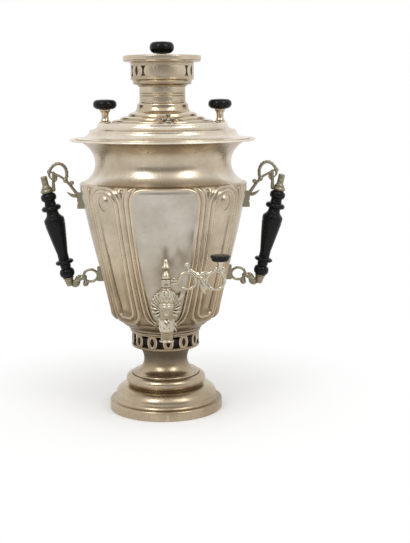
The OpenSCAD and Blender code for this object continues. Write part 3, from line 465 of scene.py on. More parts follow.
def climb(z, start, length):
    """A share that climbs from 0 at the start to 1 a length further, downwards where it is negative."""
    return np.clip((z - start) / length, 0, 1)


def refinish(node, slot):
    """Gives a node of the frame, which keeps its shape, its material."""
    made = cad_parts[node]
    for material_slot in made.material_slots:
        material_slot.material = finish(slot)
    if not made.material_slots:
        made.data.materials.append(finish(slot))


# ---- Shader helpers ----
def node(tree, kind, inputs=(), **settings):
    """Adds a node, with its settings, and its inputs set or linked."""
    made = tree.nodes.new(kind)
    for key, value in settings.items():
        setattr(made, key, value)
    pairs = inputs.items() if isinstance(inputs, dict) else enumerate(inputs)
    for key, value in pairs:
        if isinstance(value, bpy.types.NodeSocket):
            tree.links.new(value, made.inputs[key])
        elif value is not None:
            made.inputs[key].default_value = value
    return made


def sums(tree, operation, *values, clamp=False):
    """The output of a Math node."""
    return node(tree, "ShaderNodeMath", values, operation=operation, use_clamp=clamp).outputs[0]


def times(tree, first, *others, clamp=False):
    """The product of several values, the last of them clamped if asked."""
    for k, value in enumerate(others, 1):
        first = sums(tree, "MULTIPLY", first, value, clamp=clamp and k == len(others))
    return first


def added(tree, total, *pairs):
    """A value with others added to it, each a pair of a value and its weight."""
    for value, weight in pairs:
        total = sums(tree, "ADD", total, times(tree, value, weight))
    return total


def scaled(colour, share):
    """A colour made lighter or darker."""
    return tuple(min(1, c * share) for c in colour)


def mixed(tree, share, a, b):
    """The colour at a share of the way from a to b."""
    made = node(tree, "ShaderNodeMix", {0: share}, data_type="RGBA")
    for key, value in ((6, a), (7, b)):
        if isinstance(value, bpy.types.NodeSocket):
            tree.links.new(value, made.inputs[key])
        else:
            made.inputs[key].default_value = (*value[:3], 1)
    return made.outputs[2]


def layered(tree, base, *layers):
    """A colour under layers, each its mask, its strength and its colour."""
    for mask, strength, colour in layers:
        base = mixed(tree, times(tree, mask, strength), base, colour)
    return base


def mark(tree, label):
    """The share that weather() wrote on the piece under a label."""
    return node(tree, "ShaderNodeAttribute", attribute_name=label).outputs["Fac"]


def ramped(tree, value, start, end, first=0.0, last=1.0):
    """A value mapped from one range to another, and kept in it."""
    return node(tree, "ShaderNodeMapRange", (value, start, end, first, last)).outputs[0]


def noise(tree, place, scale, detail=3.0, roughness=0.55):
    """The value of a noise texture."""
    inputs = {"Vector": place, "Scale": scale, "Detail": detail, "Roughness": roughness}
    return node(tree, "ShaderNodeTexNoise", inputs).outputs[0]


def new_group(name, inputs, outputs):
    """A shader node group with float sockets: its tree, its inputs and its end node."""
    tree = bpy.data.node_groups.new(name, "ShaderNodeTree")
    for label, value in inputs.items():
        socket = tree.interface.new_socket(name=label, in_out="INPUT", socket_type="NodeSocketFloat")
        socket.default_value = value
    for label in outputs:
        tree.interface.new_socket(name=label, in_out="OUTPUT", socket_type="NodeSocketFloat")
    start = tree.nodes.new("NodeGroupInput")
    end = tree.nodes.new("NodeGroupOutput")
    return tree, start.outputs, end.inputs


def object_place(tree):
    """The place on the piece itself, in metres."""
    return node(tree, "ShaderNodeTexCoord").outputs["Object"]


def use(tree, name, **values):
    """Places a node group, with its inputs set by name, and returns its outputs."""
    made = tree.nodes.new("ShaderNodeGroup")
    made.node_tree = bpy.data.node_groups[name]
    for key, value in values.items():
        made.inputs[key.replace("_", " ")].default_value = value
    return made.outputs


def make_groups():
    """The effects that several finishes share."""
    # Painted shade: the first group's mask comes from ambient occlusion. It marks hollows and gaps between
    # parts, where shade falls, in patches like dirt.
    inputs = {"Reach": 0.006, "Amount": 1.0, "Patchiness": 60.0}
    tree, given, end = new_group("recess_shade_and_dirt", inputs, ["Mask"])
    inputs = {"Distance": given["Reach"]}
    shade = node(tree, "ShaderNodeAmbientOcclusion", inputs, samples=6, only_local=True)
    hollow = sums(tree, "POWER", sums(tree, "SUBTRACT", 1.0, shade.outputs["AO"]), 1.3)
    patches = ramped(tree, noise(tree, object_place(tree), given["Patchiness"]), 0.3, 0.65, 0.45, 1.3)
    tree.links.new(times(tree, hollow, patches, given["Amount"], clamp=True), end[0])

    tree, given, end = new_group("tarnish_clouds", {"Size": 22.0, "Cover": 0.5}, ["Mask", "Fine"])
    place = object_place(tree)
    broad = noise(tree, place, given["Size"], 5.0, 0.6)
    fine = noise(tree, place, times(tree, given["Size"], 14.0), 4.0, 0.65)
    edge = sums(tree, "SUBTRACT", 1.0, given["Cover"])
    cloud = ramped(tree, broad, sums(tree, "SUBTRACT", edge, 0.16), sums(tree, "ADD", edge, 0.16))
    tree.links.new(cloud, end[0])
    tree.links.new(ramped(tree, fine, 0.3, 0.7), end[1])

    tree, given, end = new_group("worn_edges", {"Low": 0.51, "High": 0.56}, ["Mask"])
    point = node(tree, "ShaderNodeNewGeometry").outputs["Pointiness"]
    grit = ramped(tree, noise(tree, object_place(tree), 320.0, 4.0), 0.3, 0.7, 0.5, 1.2)
    sharp = ramped(tree, point, given["Low"], given["High"])
    tree.links.new(times(tree, sharp, grit, clamp=True), end[0])

    tree, given, end = new_group("spun_lines", {"Lines": 1400.0}, ["Height"])
    x, y, z = node(tree, "ShaderNodeSeparateXYZ", (object_place(tree),)).outputs
    radius = sums(tree, "SQRT", added(tree, times(tree, x, x), (y, y)))
    turn = times(tree, sums(tree, "ARCTAN2", y, x), 0.0012)
    line = node(tree, "ShaderNodeCombineXYZ", (radius, z, turn)).outputs[0]
    tree.links.new(noise(tree, line, given["Lines"], 2.0, 0.6), end[0])

    tree, given, end = new_group("hair_scratches", {"Density": 260.0}, ["Height"])
    total = None
    for turn in ((0.4, 0.2, 0.9), (1.1, 0.7, 0.1)):
        stretch = {0: object_place(tree), "Rotation": turn, "Scale": (1, 1, 0.035)}
        place = node(tree, "ShaderNodeMapping", stretch).outputs[0]
        line = noise(tree, place, times(tree, given["Density"], 4.0), 1.0, 0.5)
        cut = ramped(tree, line, 0.62, 0.72)
        total = cut if total is None else sums(tree, "MAXIMUM", total, cut)
    tree.links.new(total, end[0])

    tree, given, end = new_group("dark_specks", {"Density": 130.0, "Share": 0.1}, ["Mask"])
    place = object_place(tree)
    cells = node(tree, "ShaderNodeTexVoronoi", {"Vector": place, "Scale": given["Density"]})
    dot = ramped(tree, cells.outputs["Distance"], 0.0, given["Share"], 1.0, 0.0)
    rare = ramped(tree, noise(tree, place, times(tree, given["Density"], 0.3)), 0.5, 0.62)
    tree.links.new(times(tree, dot, rare, clamp=True), end[0])

    tree, given, end = new_group("wood_pores", {"Density": 900.0}, ["Height", "Figure"])
    place = node(tree, "ShaderNodeMapping", {0: object_place(tree), "Scale": (1, 1, 0.06)}).outputs[0]
    pores = ramped(tree, noise(tree, place, given["Density"], 2.0), 0.42, 0.6)
    figure = noise(tree, place, times(tree, given["Density"], 0.2), 3.0)
    tree.links.new(pores, end[0])
    tree.links.new(ramped(tree, figure, 0.35, 0.68), end[1])


def new_material(name):
    """A material with an empty Principled surface: its tree and that shader."""
    material = bpy.data.materials.new("finish_" + name)
    material.use_nodes = True
    tree = material.node_tree
    return tree, tree.nodes["Principled BSDF"]


def bumped(tree, shader, height, strength, distance=0.0002):
    """Feeds a height into the shader's normal."""
    inputs = {"Strength": strength, "Distance": distance, "Height": height}
    bump = node(tree, "ShaderNodeBump", inputs)
    tree.links.new(bump.outputs[0], shader.inputs["Normal"])


# The tint that the age share multiplies in: tarnish film, and painted shade where the share marks shade.
AGE_AND_SHADE_TINT = (0.87, 0.785, 0.665, 1)
# Black for soot, also used as painted shade on the pedestal's waist.
SOOT_AND_SHADE = (0.008, 0.007, 0.006)


def metal(
        name, colour, tarnish, gloss=0.3, shade_and_dirt=0.8, cover=0.45, reach=0.006, lines=0.0, cast=0.0,
        panel=None):
    """An aged plated metal, with painted shade in its hollows, and painted shade and highlight where
    weather() writes them. lines is the strength of spinning marks and cast that of a cast skin.
    """
    tree, shader = new_material(name)
    clouds, fine = list(use(tree, "tarnish_clouds", Cover=cover))
    # Painted shade from ambient occlusion, which darkens hollows and gaps between parts below.
    recess = use(tree, "recess_shade_and_dirt", Reach=reach, Amount=shade_and_dirt)[0]
    edges = use(tree, "worn_edges")[0]
    specks = use(tree, "dark_specks")[0]
    scratches = use(tree, "hair_scratches")[0]
    base = (*colour, 1)
    # The panel share brings in a second colour: the clean middle of the body's large panels, and painted
    # highlight bands on the neck and the lid.
    if panel is not None:
        plain = mark(tree, "panel")
        base = mixed(tree, plain, colour, panel)
        gloss = added(tree, gloss, (plain, 0.06))
    aged = layered(
        tree, base, (clouds, 0.42, tarnish), (fine, 0.1, scaled(tarnish, 0.8)),
        (recess, 1.0, scaled(tarnish, 0.42)), (specks, 0.4, scaled(tarnish, 0.3)))
    # The age share darkens and warms the colour: tarnish, and painted shade where weather() puts it in
    # hollows and bands.
    film = times(tree, mark(tree, "age_and_shade"), ramped(tree, clouds, 0.0, 1.0, 0.75, 1.0))
    warm_film = {0: times(tree, film, 2.4, clamp=True), 6: aged, 7: AGE_AND_SHADE_TINT}
    warm = node(tree, "ShaderNodeMix", warm_film, data_type="RGBA", blend_type="MULTIPLY").outputs[2]
    # The soot share blackens the plating: soot inside the fire's parts, and painted shade on the pedestal's
    # waist.
    soot_and_shade = mark(tree, "soot_and_shade")
    aged = layered(
        tree, warm, (film, 0.72, scaled(tarnish, 0.34)), (edges, 0.5, scaled(colour, 1.22)),
        (soot_and_shade, 1.0, SOOT_AND_SHADE))
    tree.links.new(aged, shader.inputs["Base Color"])
    tree.links.new(sums(tree, "SUBTRACT", 1.0, soot_and_shade), shader.inputs["Metallic"])
    rough = added(tree, gloss, (clouds, 0.1), (recess, 0.25), (scratches, 0.08), (film, 0.08), (soot_and_shade, 0.4))
    rough = sums(tree, "SUBTRACT", rough, times(tree, edges, 0.06), clamp=True)
    tree.links.new(rough, shader.inputs["Roughness"])
    height = added(tree, times(tree, scratches, -0.35), (fine, 0.12 + cast))
    if lines:
        height = added(tree, height, (use(tree, "spun_lines")[0], lines))
    bumped(tree, shader, height, 0.22, 0.00012)


def wood(name, colour, worn):
    """Turned hardwood, blackened and polished."""
    tree, shader = new_material(name)
    pores, figure = list(use(tree, "wood_pores"))
    edges = use(tree, "worn_edges", Low=0.53, High=0.62)[0]
    fine = use(tree, "tarnish_clouds", Size=60.0)[1]
    black = layered(tree, colour, (figure, 0.5, scaled(colour, 1.8)), (edges, 0.25, worn))
    tree.links.new(black, shader.inputs["Base Color"])
    tree.links.new(added(tree, 0.16, (fine, 0.12), (pores, 0.06)), shader.inputs["Roughness"])
    shader.inputs["Specular IOR Level"].default_value = 0.15
    shader.inputs["Coat Weight"].default_value = 0.1
    shader.inputs["Coat Roughness"].default_value = 0.12
    bumped(tree, shader, pores, 0.15, 0.0001)


def iron(name, colour, rust):
    """Sooty cast iron."""
    tree, shader = new_material(name)
    clouds = use(tree, "tarnish_clouds", Size=45.0, Cover=0.55)[0]
    grit = use(tree, "tarnish_clouds", Size=160.0)[1]
    sooty = layered(tree, colour, (clouds, 0.6, rust), (grit, 0.5, scaled(colour, 0.4)))
    tree.links.new(sooty, shader.inputs["Base Color"])
    shader.inputs["Metallic"].default_value = 0.6
    tree.links.new(added(tree, 0.6, (grit, 0.2)), shader.inputs["Roughness"])
    bumped(tree, shader, grit, 0.5, 0.0003)


# ---- The body's surface ----
# Radius of the stepped cup under the body, by height above its foot
CUP_LINE = [
    (0, 45.2), (0.5, 46.1), (1.6, 46.7), (2.6, 46.4), (3.1, 45.9), (3.6, 46.6), (4.4, 47.8), (5.4, 48.3),
    (6.4, 48.2), (7.2, 47.8), (7.7, 48.8), (8.6, 51.2), (10, 53.6), (11.8, 55.9), (13.4, 57.4), (14.8, 58.2),
    (15.8, 58.6), (16.6, 58.9), (17.1, 60.4), (17.8, 62.4), (19, 64.2), (21.5, 66.6), (CUP_H, LOW_R)]
SHOULDER_ROLL = 9.5
SHOULDER_IN = 8.3
SWELL = 1.9
SHELL_WALL = 1.5
PER_DEGREE = SHOULDER_R * math.pi / 180
NICHE_HALF = 17
PANEL_FOOT = Z_TAPER - 2
PANEL_HEAD = Z_NECK - 4.5
PANEL_ROUND = 16.5
NICHE_FOOT = Z_TAPER + 4
NICHE_HEAD = Z_NECK - 8.5
EGG_Z = Z_NECK - 22
# Height over which the mouldings grow bolder towards the panels' foot
LOW_SPAN = 90
# Angle of the fork between two frames, from the middle of a large panel
FORK = 29.6


def shell_r(z):
    """The radius of the body's plain surface at a height."""
    if z < Z_TAPER:
        heights, radii = zip(*CUP_LINE)
        return float(np.interp(z - Z_SHELL, heights, radii))
    if z < Z_SHOULDER:
        share = (z - Z_TAPER) / (Z_SHOULDER - Z_TAPER)
        return lerp(LOW_R, SHOULDER_R, share) + 4 * SWELL * share * (1 - share)
    rise = (z - Z_SHOULDER) / SHOULDER_ROLL
    return SHOULDER_R - SHOULDER_IN * (1 - math.sqrt(max(0, 1 - rise * rise)))


def from_box(x, z, half, foot, head, rounding):
    """The distance from the edge of an upright box with round corners, negative inside it."""
    across = np.abs(x) - half + rounding
    along = np.abs(z - (foot + head) / 2) - (head - foot) / 2 + rounding
    outside = np.hypot(np.maximum(across, 0), np.maximum(along, 0))
    return np.minimum(np.maximum(across, along), 0) + outside - rounding


def reed(x, spread):
    """A round moulding that ends softly on either side."""
    return np.where(np.abs(x) < spread, 0.5 + 0.5 * np.cos(np.pi * x / spread), 0) ** 0.8


def swell_up(x):
    """A soft mound between -1 and 1."""
    return np.maximum(0, 1 - x * x) ** 2


def embossing(p, z, half, rise, egg_rise):
    """How far the sheet stands out, p degrees from the middle of a large panel, at a height, and the share of
    painted shade in the hollows between the mouldings."""
    big = from_box(p * PER_DEGREE, z, half * PER_DEGREE, PANEL_FOOT, PANEL_HEAD, PANEL_ROUND)
    x = (45 - p) * PER_DEGREE
    low_share = climb(z, PANEL_FOOT + LOW_SPAN, -LOW_SPAN)
    width = NICHE_HALF - 3.6 * low_share
    arched = z > (NICHE_FOOT + NICHE_HEAD) / 2
    narrow = from_box(x, z, width, NICHE_FOOT, NICHE_HEAD, np.where(arched, width - 0.5, 8))
    fade = climb(z, Z_NECK, -2)
    mouldings = np.maximum.reduce([
        reed(big - 1.8, 3.4 + 0.6 * low_share), 0.9 * reed(big - 8.4, 3.5 + 0.8 * low_share),
        reed(narrow - 2, 3.4 + 0.8 * low_share),
        0.9 * reed(narrow - 8.8 - 2.4 * low_share, 3.8 + 0.8 * low_share)])
    out = rise * (1 + 0.5 * low_share) * fade * mouldings
    channel = np.sin(np.pi / 2 * np.clip(-narrow / NICHE_HALF, 0, 1)) ** 1.3
    out += 2.2 * channel * climb(z, EGG_Z - 4, -24) * climb(z, NICHE_FOOT + 5, 26)
    valley = swell_up((narrow + 4.4) / 5.4) * low_share
    out -= 1.8 * valley * climb(z, NICHE_FOOT + 4, 16)
    from_egg = np.hypot(x, (z - EGG_Z) * 0.9)
    out += egg_rise * np.maximum(0, 1 - (from_egg / 9.4) ** 2) ** 0.85
    # A drop-shaped dimple lies in the fork between two frames
    drop_width = 3.4 * np.clip((z - Z_NECK + 16) / 12, 0.05, 1)
    drop = np.hypot((p - FORK) * PER_DEGREE / drop_width, np.maximum(0, (z - Z_NECK + 5) / 2.6))
    dimple = swell_up(np.minimum(1, drop)) * climb(z, Z_NECK - 16, 4)
    out -= 2.0 * dimple
    # Painted shade: the share below darkens the hollows between the mouldings, the valleys at the niches'
    # foot and the dimples.
    between = np.clip(1 + np.minimum(big, narrow), 0, 1) * fade
    hollow = between * (1 - mouldings) ** 1.4 * (0.25 + 0.75 * low_share) + 1.1 * valley + 0.9 * dimple
    return out, np.clip(hollow, 0, 1)


def body_form(half, close, rise, egg_rise):
    """The form of the embossed body, and the shares of smooth panel and of painted shade in the hollows at
    its vertices.
    """
    quarter = np.concatenate([np.linspace(0, half - 3, 14, endpoint=False), np.linspace(half - 3, 45, 58)])
    quarter = np.concatenate([quarter, 90 - quarter[-2:0:-1]])
    heights = np.concatenate([
        [Z_SHELL + h for h, r in CUP_LINE],
        np.linspace(Z_SHELL, Z_TAPER - 8, 12, endpoint=False),
        np.linspace(Z_TAPER - 8, Z_TAPER + 20, 34, endpoint=False),
        np.linspace(Z_TAPER + 20, Z_SHOULDER - 24, 26, endpoint=False),
        np.linspace(Z_SHOULDER - 24, Z_NECK, 52)])
    heights = np.unique(np.round(heights, 3))
    turn = np.concatenate([quarter + 90 * k for k in range(4)])
    tiled = np.tile(quarter, 4)
    p = np.where(tiled > 45, 90 - tiled, tiled)
    verts, plain, hollow = [], [], []
    for z in heights:
        share = max(0, (PANEL_HEAD - z) / (PANEL_HEAD - PANEL_FOOT))
        edge = half - close * share**3
        drawn = np.where(p < half, p * edge / half, 45 - (45 - p) * (45 - edge) / (45 - half))
        direction = np.radians(turn + np.where(tiled > 45, p - drawn, drawn - p))
        level = np.full_like(p, z)
        stands, deep = embossing(p, level, half, rise, egg_rise)
        out = shell_r(z) + stands
        verts.extend(zip(out * np.sin(direction), -out * np.cos(direction), level))
        inside = from_box(p * PER_DEGREE, level, half * PER_DEGREE, PANEL_FOOT, PANEL_HEAD, PANEL_ROUND)
        plain.extend(np.clip(-inside / 1.5, 0, 1))
        hollow.extend(deep)
    direction = np.radians(turn)
    for z in heights[::-1][::10].tolist() + [Z_SHELL]:
        r = shell_r(z) - SHELL_WALL
        verts.extend(zip(r * np.sin(direction), -r * np.cos(direction), np.full_like(p, z)))
        plain.extend([0.0] * len(p))
        hollow.extend([0.0] * len(p))
    count = len(p)
    rings = len(verts) // count
    faces = []
    for k in range(rings):
        m = (k + 1) % rings
        for i in range(count):
            j = (i + 1) % count
            faces.append([k * count + i, k * count + j, m * count + j, m * count + i])
    return (verts, faces), plain, np.array(hollow)


# ---- Ornament ----
def leaf(points, width, thick, y=0.0):
    """A cast leaf along a curve in XZ with four guiding points, broadest in its middle."""
    path = bend(*upright(points, y), steps=9)
    share = np.linspace(0, 1, len(path))
    taper = 0.16 + np.sin(np.pi * share**0.75)
    return tube(path, width * taper, thick * (0.4 + 0.6 * np.sin(np.pi * share)), sides=10)


def scroll(centre, start, r, turns, width, thick):
    """A rolled-up ribbon about a centre in XZ, from its outer end inwards."""
    share = np.linspace(0, 1, int(26 * turns))
    angle = math.radians(start) + 2 * math.pi * turns * share
    out = r * (1 - 0.72 * share)
    path = [(centre[0] + a * math.cos(t), 0, centre[1] + a * math.sin(t)) for a, t in zip(out, angle)]
    return tube(path, width * (1 - 0.4 * share), thick, sides=10)


def ring_of(count, r, z, radii, start=0.0):
    """A ring of small raised ovals about Z."""
    turns = [math.radians(start + 360 * k / count) for k in range(count)]
    return [placed(ball((0, 0, 0), 1), around(turn, r, z) @ Matrix.Diagonal((*radii, 1))) for turn in turns]


def wall_cutter(z, reach, steps, turns=160):
    """The form of all that lies inside the body's surface near a height, which seats a casting on it."""
    line = [(shell_r(h) + 0.15, h) for h in np.linspace(z - reach, z + reach, steps)]
    return spin([(0, z - reach)] + line + [(0, z + reach)], turns)


def at_tap(form, up=0.0):
    """A form moved onto the tap's axis."""
    return shifted(form, 0, TAP_Y, up)


def along_pipe(form):
    """A form about Z laid along the tap's pipe, its top outwards."""
    return placed(form, Matrix.Translation((0, 0, Z_PIPE)) @ Matrix.Rotation(math.radians(90), 4, "X"))


# ---- The handles' own frame ----
BOSS_H = 5.2
EYE_H = 4
WASHER_H = 1.4
ROD_FOOT = -4.0
ROD_PAST = 12.2
ROD_R = 2.5
ROD_HOLE_R = ROD_R + 0.1


def grip_axis():
    """Where the right grip's axis starts, its direction, and its length, from its rod."""
    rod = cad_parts["grip_rod_right"]
    points = np.array([rod.matrix_world @ v.co for v in rod.data.vertices]) / MM
    centre = (points.min(0) + points.max(0)) / 2
    axis = np.linalg.svd(points - centre)[2][0]
    axis *= np.sign(axis[2])
    along = (points - centre) @ axis
    start = centre + axis * (along.min() - ROD_FOOT)
    return start, axis, along.max() - along.min() + ROD_FOOT - ROD_PAST


def on_grip(form, s=0.0):
    """A form about Z set on the right grip's axis, s above the axis's start."""
    start, axis = grip_axis()[:2]
    lean = math.atan2(axis[0], axis[2])
    return placed(form, Matrix.Translation(start + axis * s) @ Matrix.Rotation(lean, 4, "Y"))


# ---- What a user would change ----
def colour_setting(label, text, value):
    """A colour that a user may set."""
    return FloatVectorProperty(
        name=label, description=text, subtype="COLOR", size=3, min=0, max=1, default=value)


def length_setting(label, text, value, least, most):
    """A length that a user may set, given here in millimetres and kept in metres."""
    return FloatProperty(
        name=label, description=text, default=value * MM, min=least * MM, max=most * MM,
        subtype="DISTANCE", unit="LENGTH", precision=4)


def number_setting(label, text, value, least, most, **more):
    """A plain number that a user may set."""
    return FloatProperty(name=label, description=text, default=value, min=least, max=most, **more)


def count_setting(label, text, value, least, most):
    """A count that a user may set."""
    return IntProperty(name=label, description=text, default=value, min=least, max=most)


class SamovarColours(PropertyGroup):
    """The colours of the finishes."""
    nickel: colour_setting("Nickel", "Clean plating of the spun and embossed sheets", (0.62, 0.53, 0.405))
    panel: colour_setting(
        "Panel nickel", "Clean plating in the middle of the large panels", (0.575, 0.535, 0.465))
    # The tarnish colour also paints the shade in hollows and in the darker bands that weather() writes.
    tarnish: colour_setting("Tarnish", "Brown film on the plating", (0.23, 0.175, 0.11))
    tap: colour_setting("Tap nickel", "Clean plating of the cast tap, key and vent", (0.60, 0.545, 0.43))
    brass: colour_setting("Bracket brass", "Olive brass of the handle castings", (0.34, 0.305, 0.21))
    tinned: colour_setting("Tinned brass", "Sooty brass of the fire tube", (0.30, 0.26, 0.20))
    ebony: colour_setting("Ebonised wood", "Blackened wood of the grips and knobs", (0.003, 0.0028, 0.0027))
    worn_wood: colour_setting("Worn wood", "Wood that shows through on the edges", (0.03, 0.022, 0.016))
    cast_iron: colour_setting("Cast iron", "Iron of the grate", (0.07, 0.065, 0.06))
    rust: colour_setting("Rust", "Rust on the grate", (0.10, 0.05, 0.03))
    steel: colour_setting("Steel", "Bare steel of the rods and bolts", (0.34, 0.34, 0.33))
    floor: colour_setting("Floor", "The plain floor under the samovar", (0.93, 0.93, 0.92))


class SamovarShape(PropertyGroup):
    """The measures of the ornament that the frame leaves open."""
    ring_ovals: count_setting("Ovals", "Number of oval rings in the air ring", 13, 9, 15)
    oval_turn: number_setting(
        "Oval turn", "Direction of the first oval", math.radians(3.8), 0, math.pi / 4, subtype="ANGLE")
    panel_half: number_setting("Panel half width", "Half width of a large panel, in degrees", 22.3, 20, 24)
    panel_close: number_setting(
        "Panel taper", "How far a large panel closes in at its foot, in degrees", 8, 0, 11)
    bead_rise: length_setting("Moulding", "Rise of the embossed mouldings", 2.2, 0.5, 2.6)
    egg_rise: length_setting("Egg", "Rise of the egg at the head of each narrow panel", 4.4, 1, 5)
    rosette_ribs: count_setting("Ribs", "Number of ribs on the tap's rosette", 24, 12, 40)
    cast_grain: length_setting("Casting grain", "Finest detail kept in a casting", 0.45, 0.2, 1.0)


class SamovarStage(PropertyGroup):
    """The camera and the lights."""
    lens: number_setting("Lens", "Focal length of the camera", 68.95, 20, 200, unit="CAMERA")
    distance: length_setting("Distance", "From the samovar to the camera", 1355.03, 500, 4000)
    eye_height: length_setting("Eye height", "Height of the camera", 412.15, 0, 2000)
    ambient: number_setting("Ambient", "Strength of the light from all around", 0.85, 0, 2)
    key_power: number_setting("Soft boxes", "Power of the soft boxes", 6, 0, 100, unit="POWER")


# ---- Operators ----
class Piece(Operator):
    """Builds a group of pieces."""
    bl_options = {"REGISTER", "UNDO"}

    def execute(self, context):
        self.build(context.scene.samovar_shape)
        return {"FINISHED"}


class SAMOVAR_OT_finishes(Operator):
    """Makes the materials of the record's slots."""
    bl_idname = "samovar.finishes"
    bl_label = "Finishes"

    def execute(self, context):
        c = context.scene.samovar_colours
        make_groups()
        # Each finish's hollows get painted shade from ambient occlusion, by the amounts set here.
        spun = {"shade_and_dirt": 0.5, "lines": 0.35}
        cast = {"shade_and_dirt": 1.0, "reach": 0.003}
        metal("nickel", c.nickel, c.tarnish, gloss=0.22, **spun)
        metal("nickel.body", c.nickel, c.tarnish, gloss=0.22, shade_and_dirt=0.5, reach=0.008, panel=c.panel)
        # The neck's light panel colour is its painted highlight.
        metal("nickel.neck", c.nickel, c.tarnish, gloss=0.22, shade_and_dirt=0.4, lines=0.35, panel=(0.88, 0.81, 0.70))
        # The lid's nickel is made lighter and its panel colour lighter still: painted highlight.
        metal(
            "nickel.lid", scaled(c.nickel, 1.1), c.tarnish, gloss=0.2, cover=0.36,
            panel=(0.93, 0.88, 0.80), **spun)
        metal("nickel.crown", c.nickel, c.tarnish, gloss=0.24, shade_and_dirt=0.7, cover=0.48, lines=0.35)
        metal("tap_nickel", c.tap, c.tarnish, gloss=0.2, cover=0.4, cast=0.35, **cast)
        # The vent cap's nickel is the tap's at 0.62 of its brightness, with more tarnish.
        metal("tap_nickel.vent", scaled(c.tap, 0.62), c.tarnish, gloss=0.24, cover=0.55, cast=0.4, **cast)
        metal(
            "bracket_brass", c.brass, scaled(c.brass, 0.4), gloss=0.32, shade_and_dirt=1.0, cover=0.5, reach=0.004,
            cast=0.8)
        metal("tinned_brass", c.tinned, c.cast_iron, gloss=0.42, shade_and_dirt=0.8, cover=0.6)
        metal("steel", c.steel, c.tarnish, gloss=0.34, shade_and_dirt=0.5, cover=0.35, lines=0.4)
        wood("ebonised_wood", c.ebony, c.worn_wood)
        iron("cast_iron", c.cast_iron, c.rust)
        return {"FINISHED"}


class SAMOVAR_OT_foot(Piece):
    """Spins the skirt that stands on the table, and the pedestal's torus, waist and deck."""
    bl_idname = "samovar.foot"
    bl_label = "Foot"

    def build(self, shape):
        torus_r = 52.7
        flange = 12.6
        edge = (SKIRT_R, flange - 2.5)
        start = (SKIRT_R - 4.5, flange)
        end = (SKIRT_R - 8, flange + 6)
        path = [(SKIRT_R, 0), edge] + round_out(edge, (SKIRT_R - 2.5, flange)) + [start]
        path += round_in(start, end) + round_out(end, (torus_r, Z_SKIRT), 16) + [(torus_r - 9, Z_SKIRT)]
        made = solid("foot_skirt", turned(sheet(path, SHEET_THICK), turns=160))
        weather(made, lambda r, z: 0.26 + 0.3 * near(z, flange, 1.2))
        dress(made, "vessel", "nickel", "skirt")

        torus_h = 19.7
        roll = 7.2
        waist_r = 28.8
        waist_h = 15.6
        waist_z = Z_SKIRT + torus_h + waist_h
        middle = torus_r - roll
        centre = (middle, Z_SKIRT + 0.47 * torus_h)
        ridge = centre[1] + 0.28 * torus_h
        cove = middle - 3.7
        lip = lerp(cove, RING_R, 0.5)
        torus = arc(centre, roll, 0.45 * torus_h, -75, 0, 18) + arc(centre, roll, 0.33 * torus_h, 5, 92, 18)
        path = [(torus[0][0], Z_SKIRT)] + torus + [(middle - 1.3, ridge + 0.2)]
        path += bead(ridge + 0.2, ridge + 0.17 * torus_h, middle - 2.2, middle - 0.9, 8)
        path += arc((cove, waist_z), cove - waist_r, waist_h, 267, 180, 22)
        path += arc((lip, waist_z), lip - waist_r, 18.3, 174, 96, 22)
        inner = [p for p in sheet(path, SHEET_THICK)[len(path):] if p[1] < Z_RING - 2]
        rim = offsets(RING_R + 0.3, Z_RING, (-0.4, -1.4), (0, -1), (0, -0.3), (-0.3, 0))
        outline = [(0, Z_RING - 1.4)] + inner + path + rim + [(0, Z_RING)]
        made = solid("foot_pedestal", turned(outline, 0.25, 160))
        # Darker at the waist cove and at the top under the air ring, and blackened at the waist: partly
        # tarnish and soot, partly painted shade. The deck's top inside the ring is black with soot.
        weather(
            made, lambda r, z: 0.22 + 0.85 * near(z, waist_z + 4, 12) + 0.3 * (z > Z_RING - 6),
            lambda r, z: np.where((z > Z_RING - 0.1) & (r < 43), 1, 0.55 * near(z, waist_z + 9, 12)))
        dress(made, "vessel", "nickel", "pedestal")


class SAMOVAR_OT_air_ring(Piece):
    """Pierces the draught ring: ovals, with waisted openings between them."""
    bl_idname = "samovar.air_ring"
    bl_label = "Air ring"

    def build(self, shape):
        wall = 1.4
        oval_half = 2.8
        bridges = 8
        open_h = Z_SHELL - Z_RING - 2.9
        middle = Z_RING + 1.8 + open_h / 2
        line = offsets(RING_R, Z_RING, (-wall, 0), (0.5, 0), (0.7, 0.2), (0.7, 0.8), (0, 1.3))
        line += offsets(RING_R, Z_SHELL, (0, -0.6), (0.5, 0), (-wall, 0))
        pitch = 2 * math.pi / shape.ring_ovals
        waist = RING_R * pitch - 2 * oval_half - bridges
        lens = [(x * (1 - 0.12 * (z / 5.7) ** 2), z) for x, z in oval(oval_half, 5.7, 30)]
        openings = ((0, lens), (0.5, hourglass(waist, 4, open_h / 2)))
        tools = [
            piercing(outline, shape.oval_turn + (k + share) * pitch, RING_R, middle)
            for k in range(shape.ring_ovals) for share, outline in openings]
        made = bored(solid("draught_ring", spin(line, 208)), tools)
        weather(made, lambda r, z: 0.55, lambda r, z: np.where(r < RING_R - 0.2, 1, 0))
        dress(made, "vessel", "nickel.crown", "air_ring")


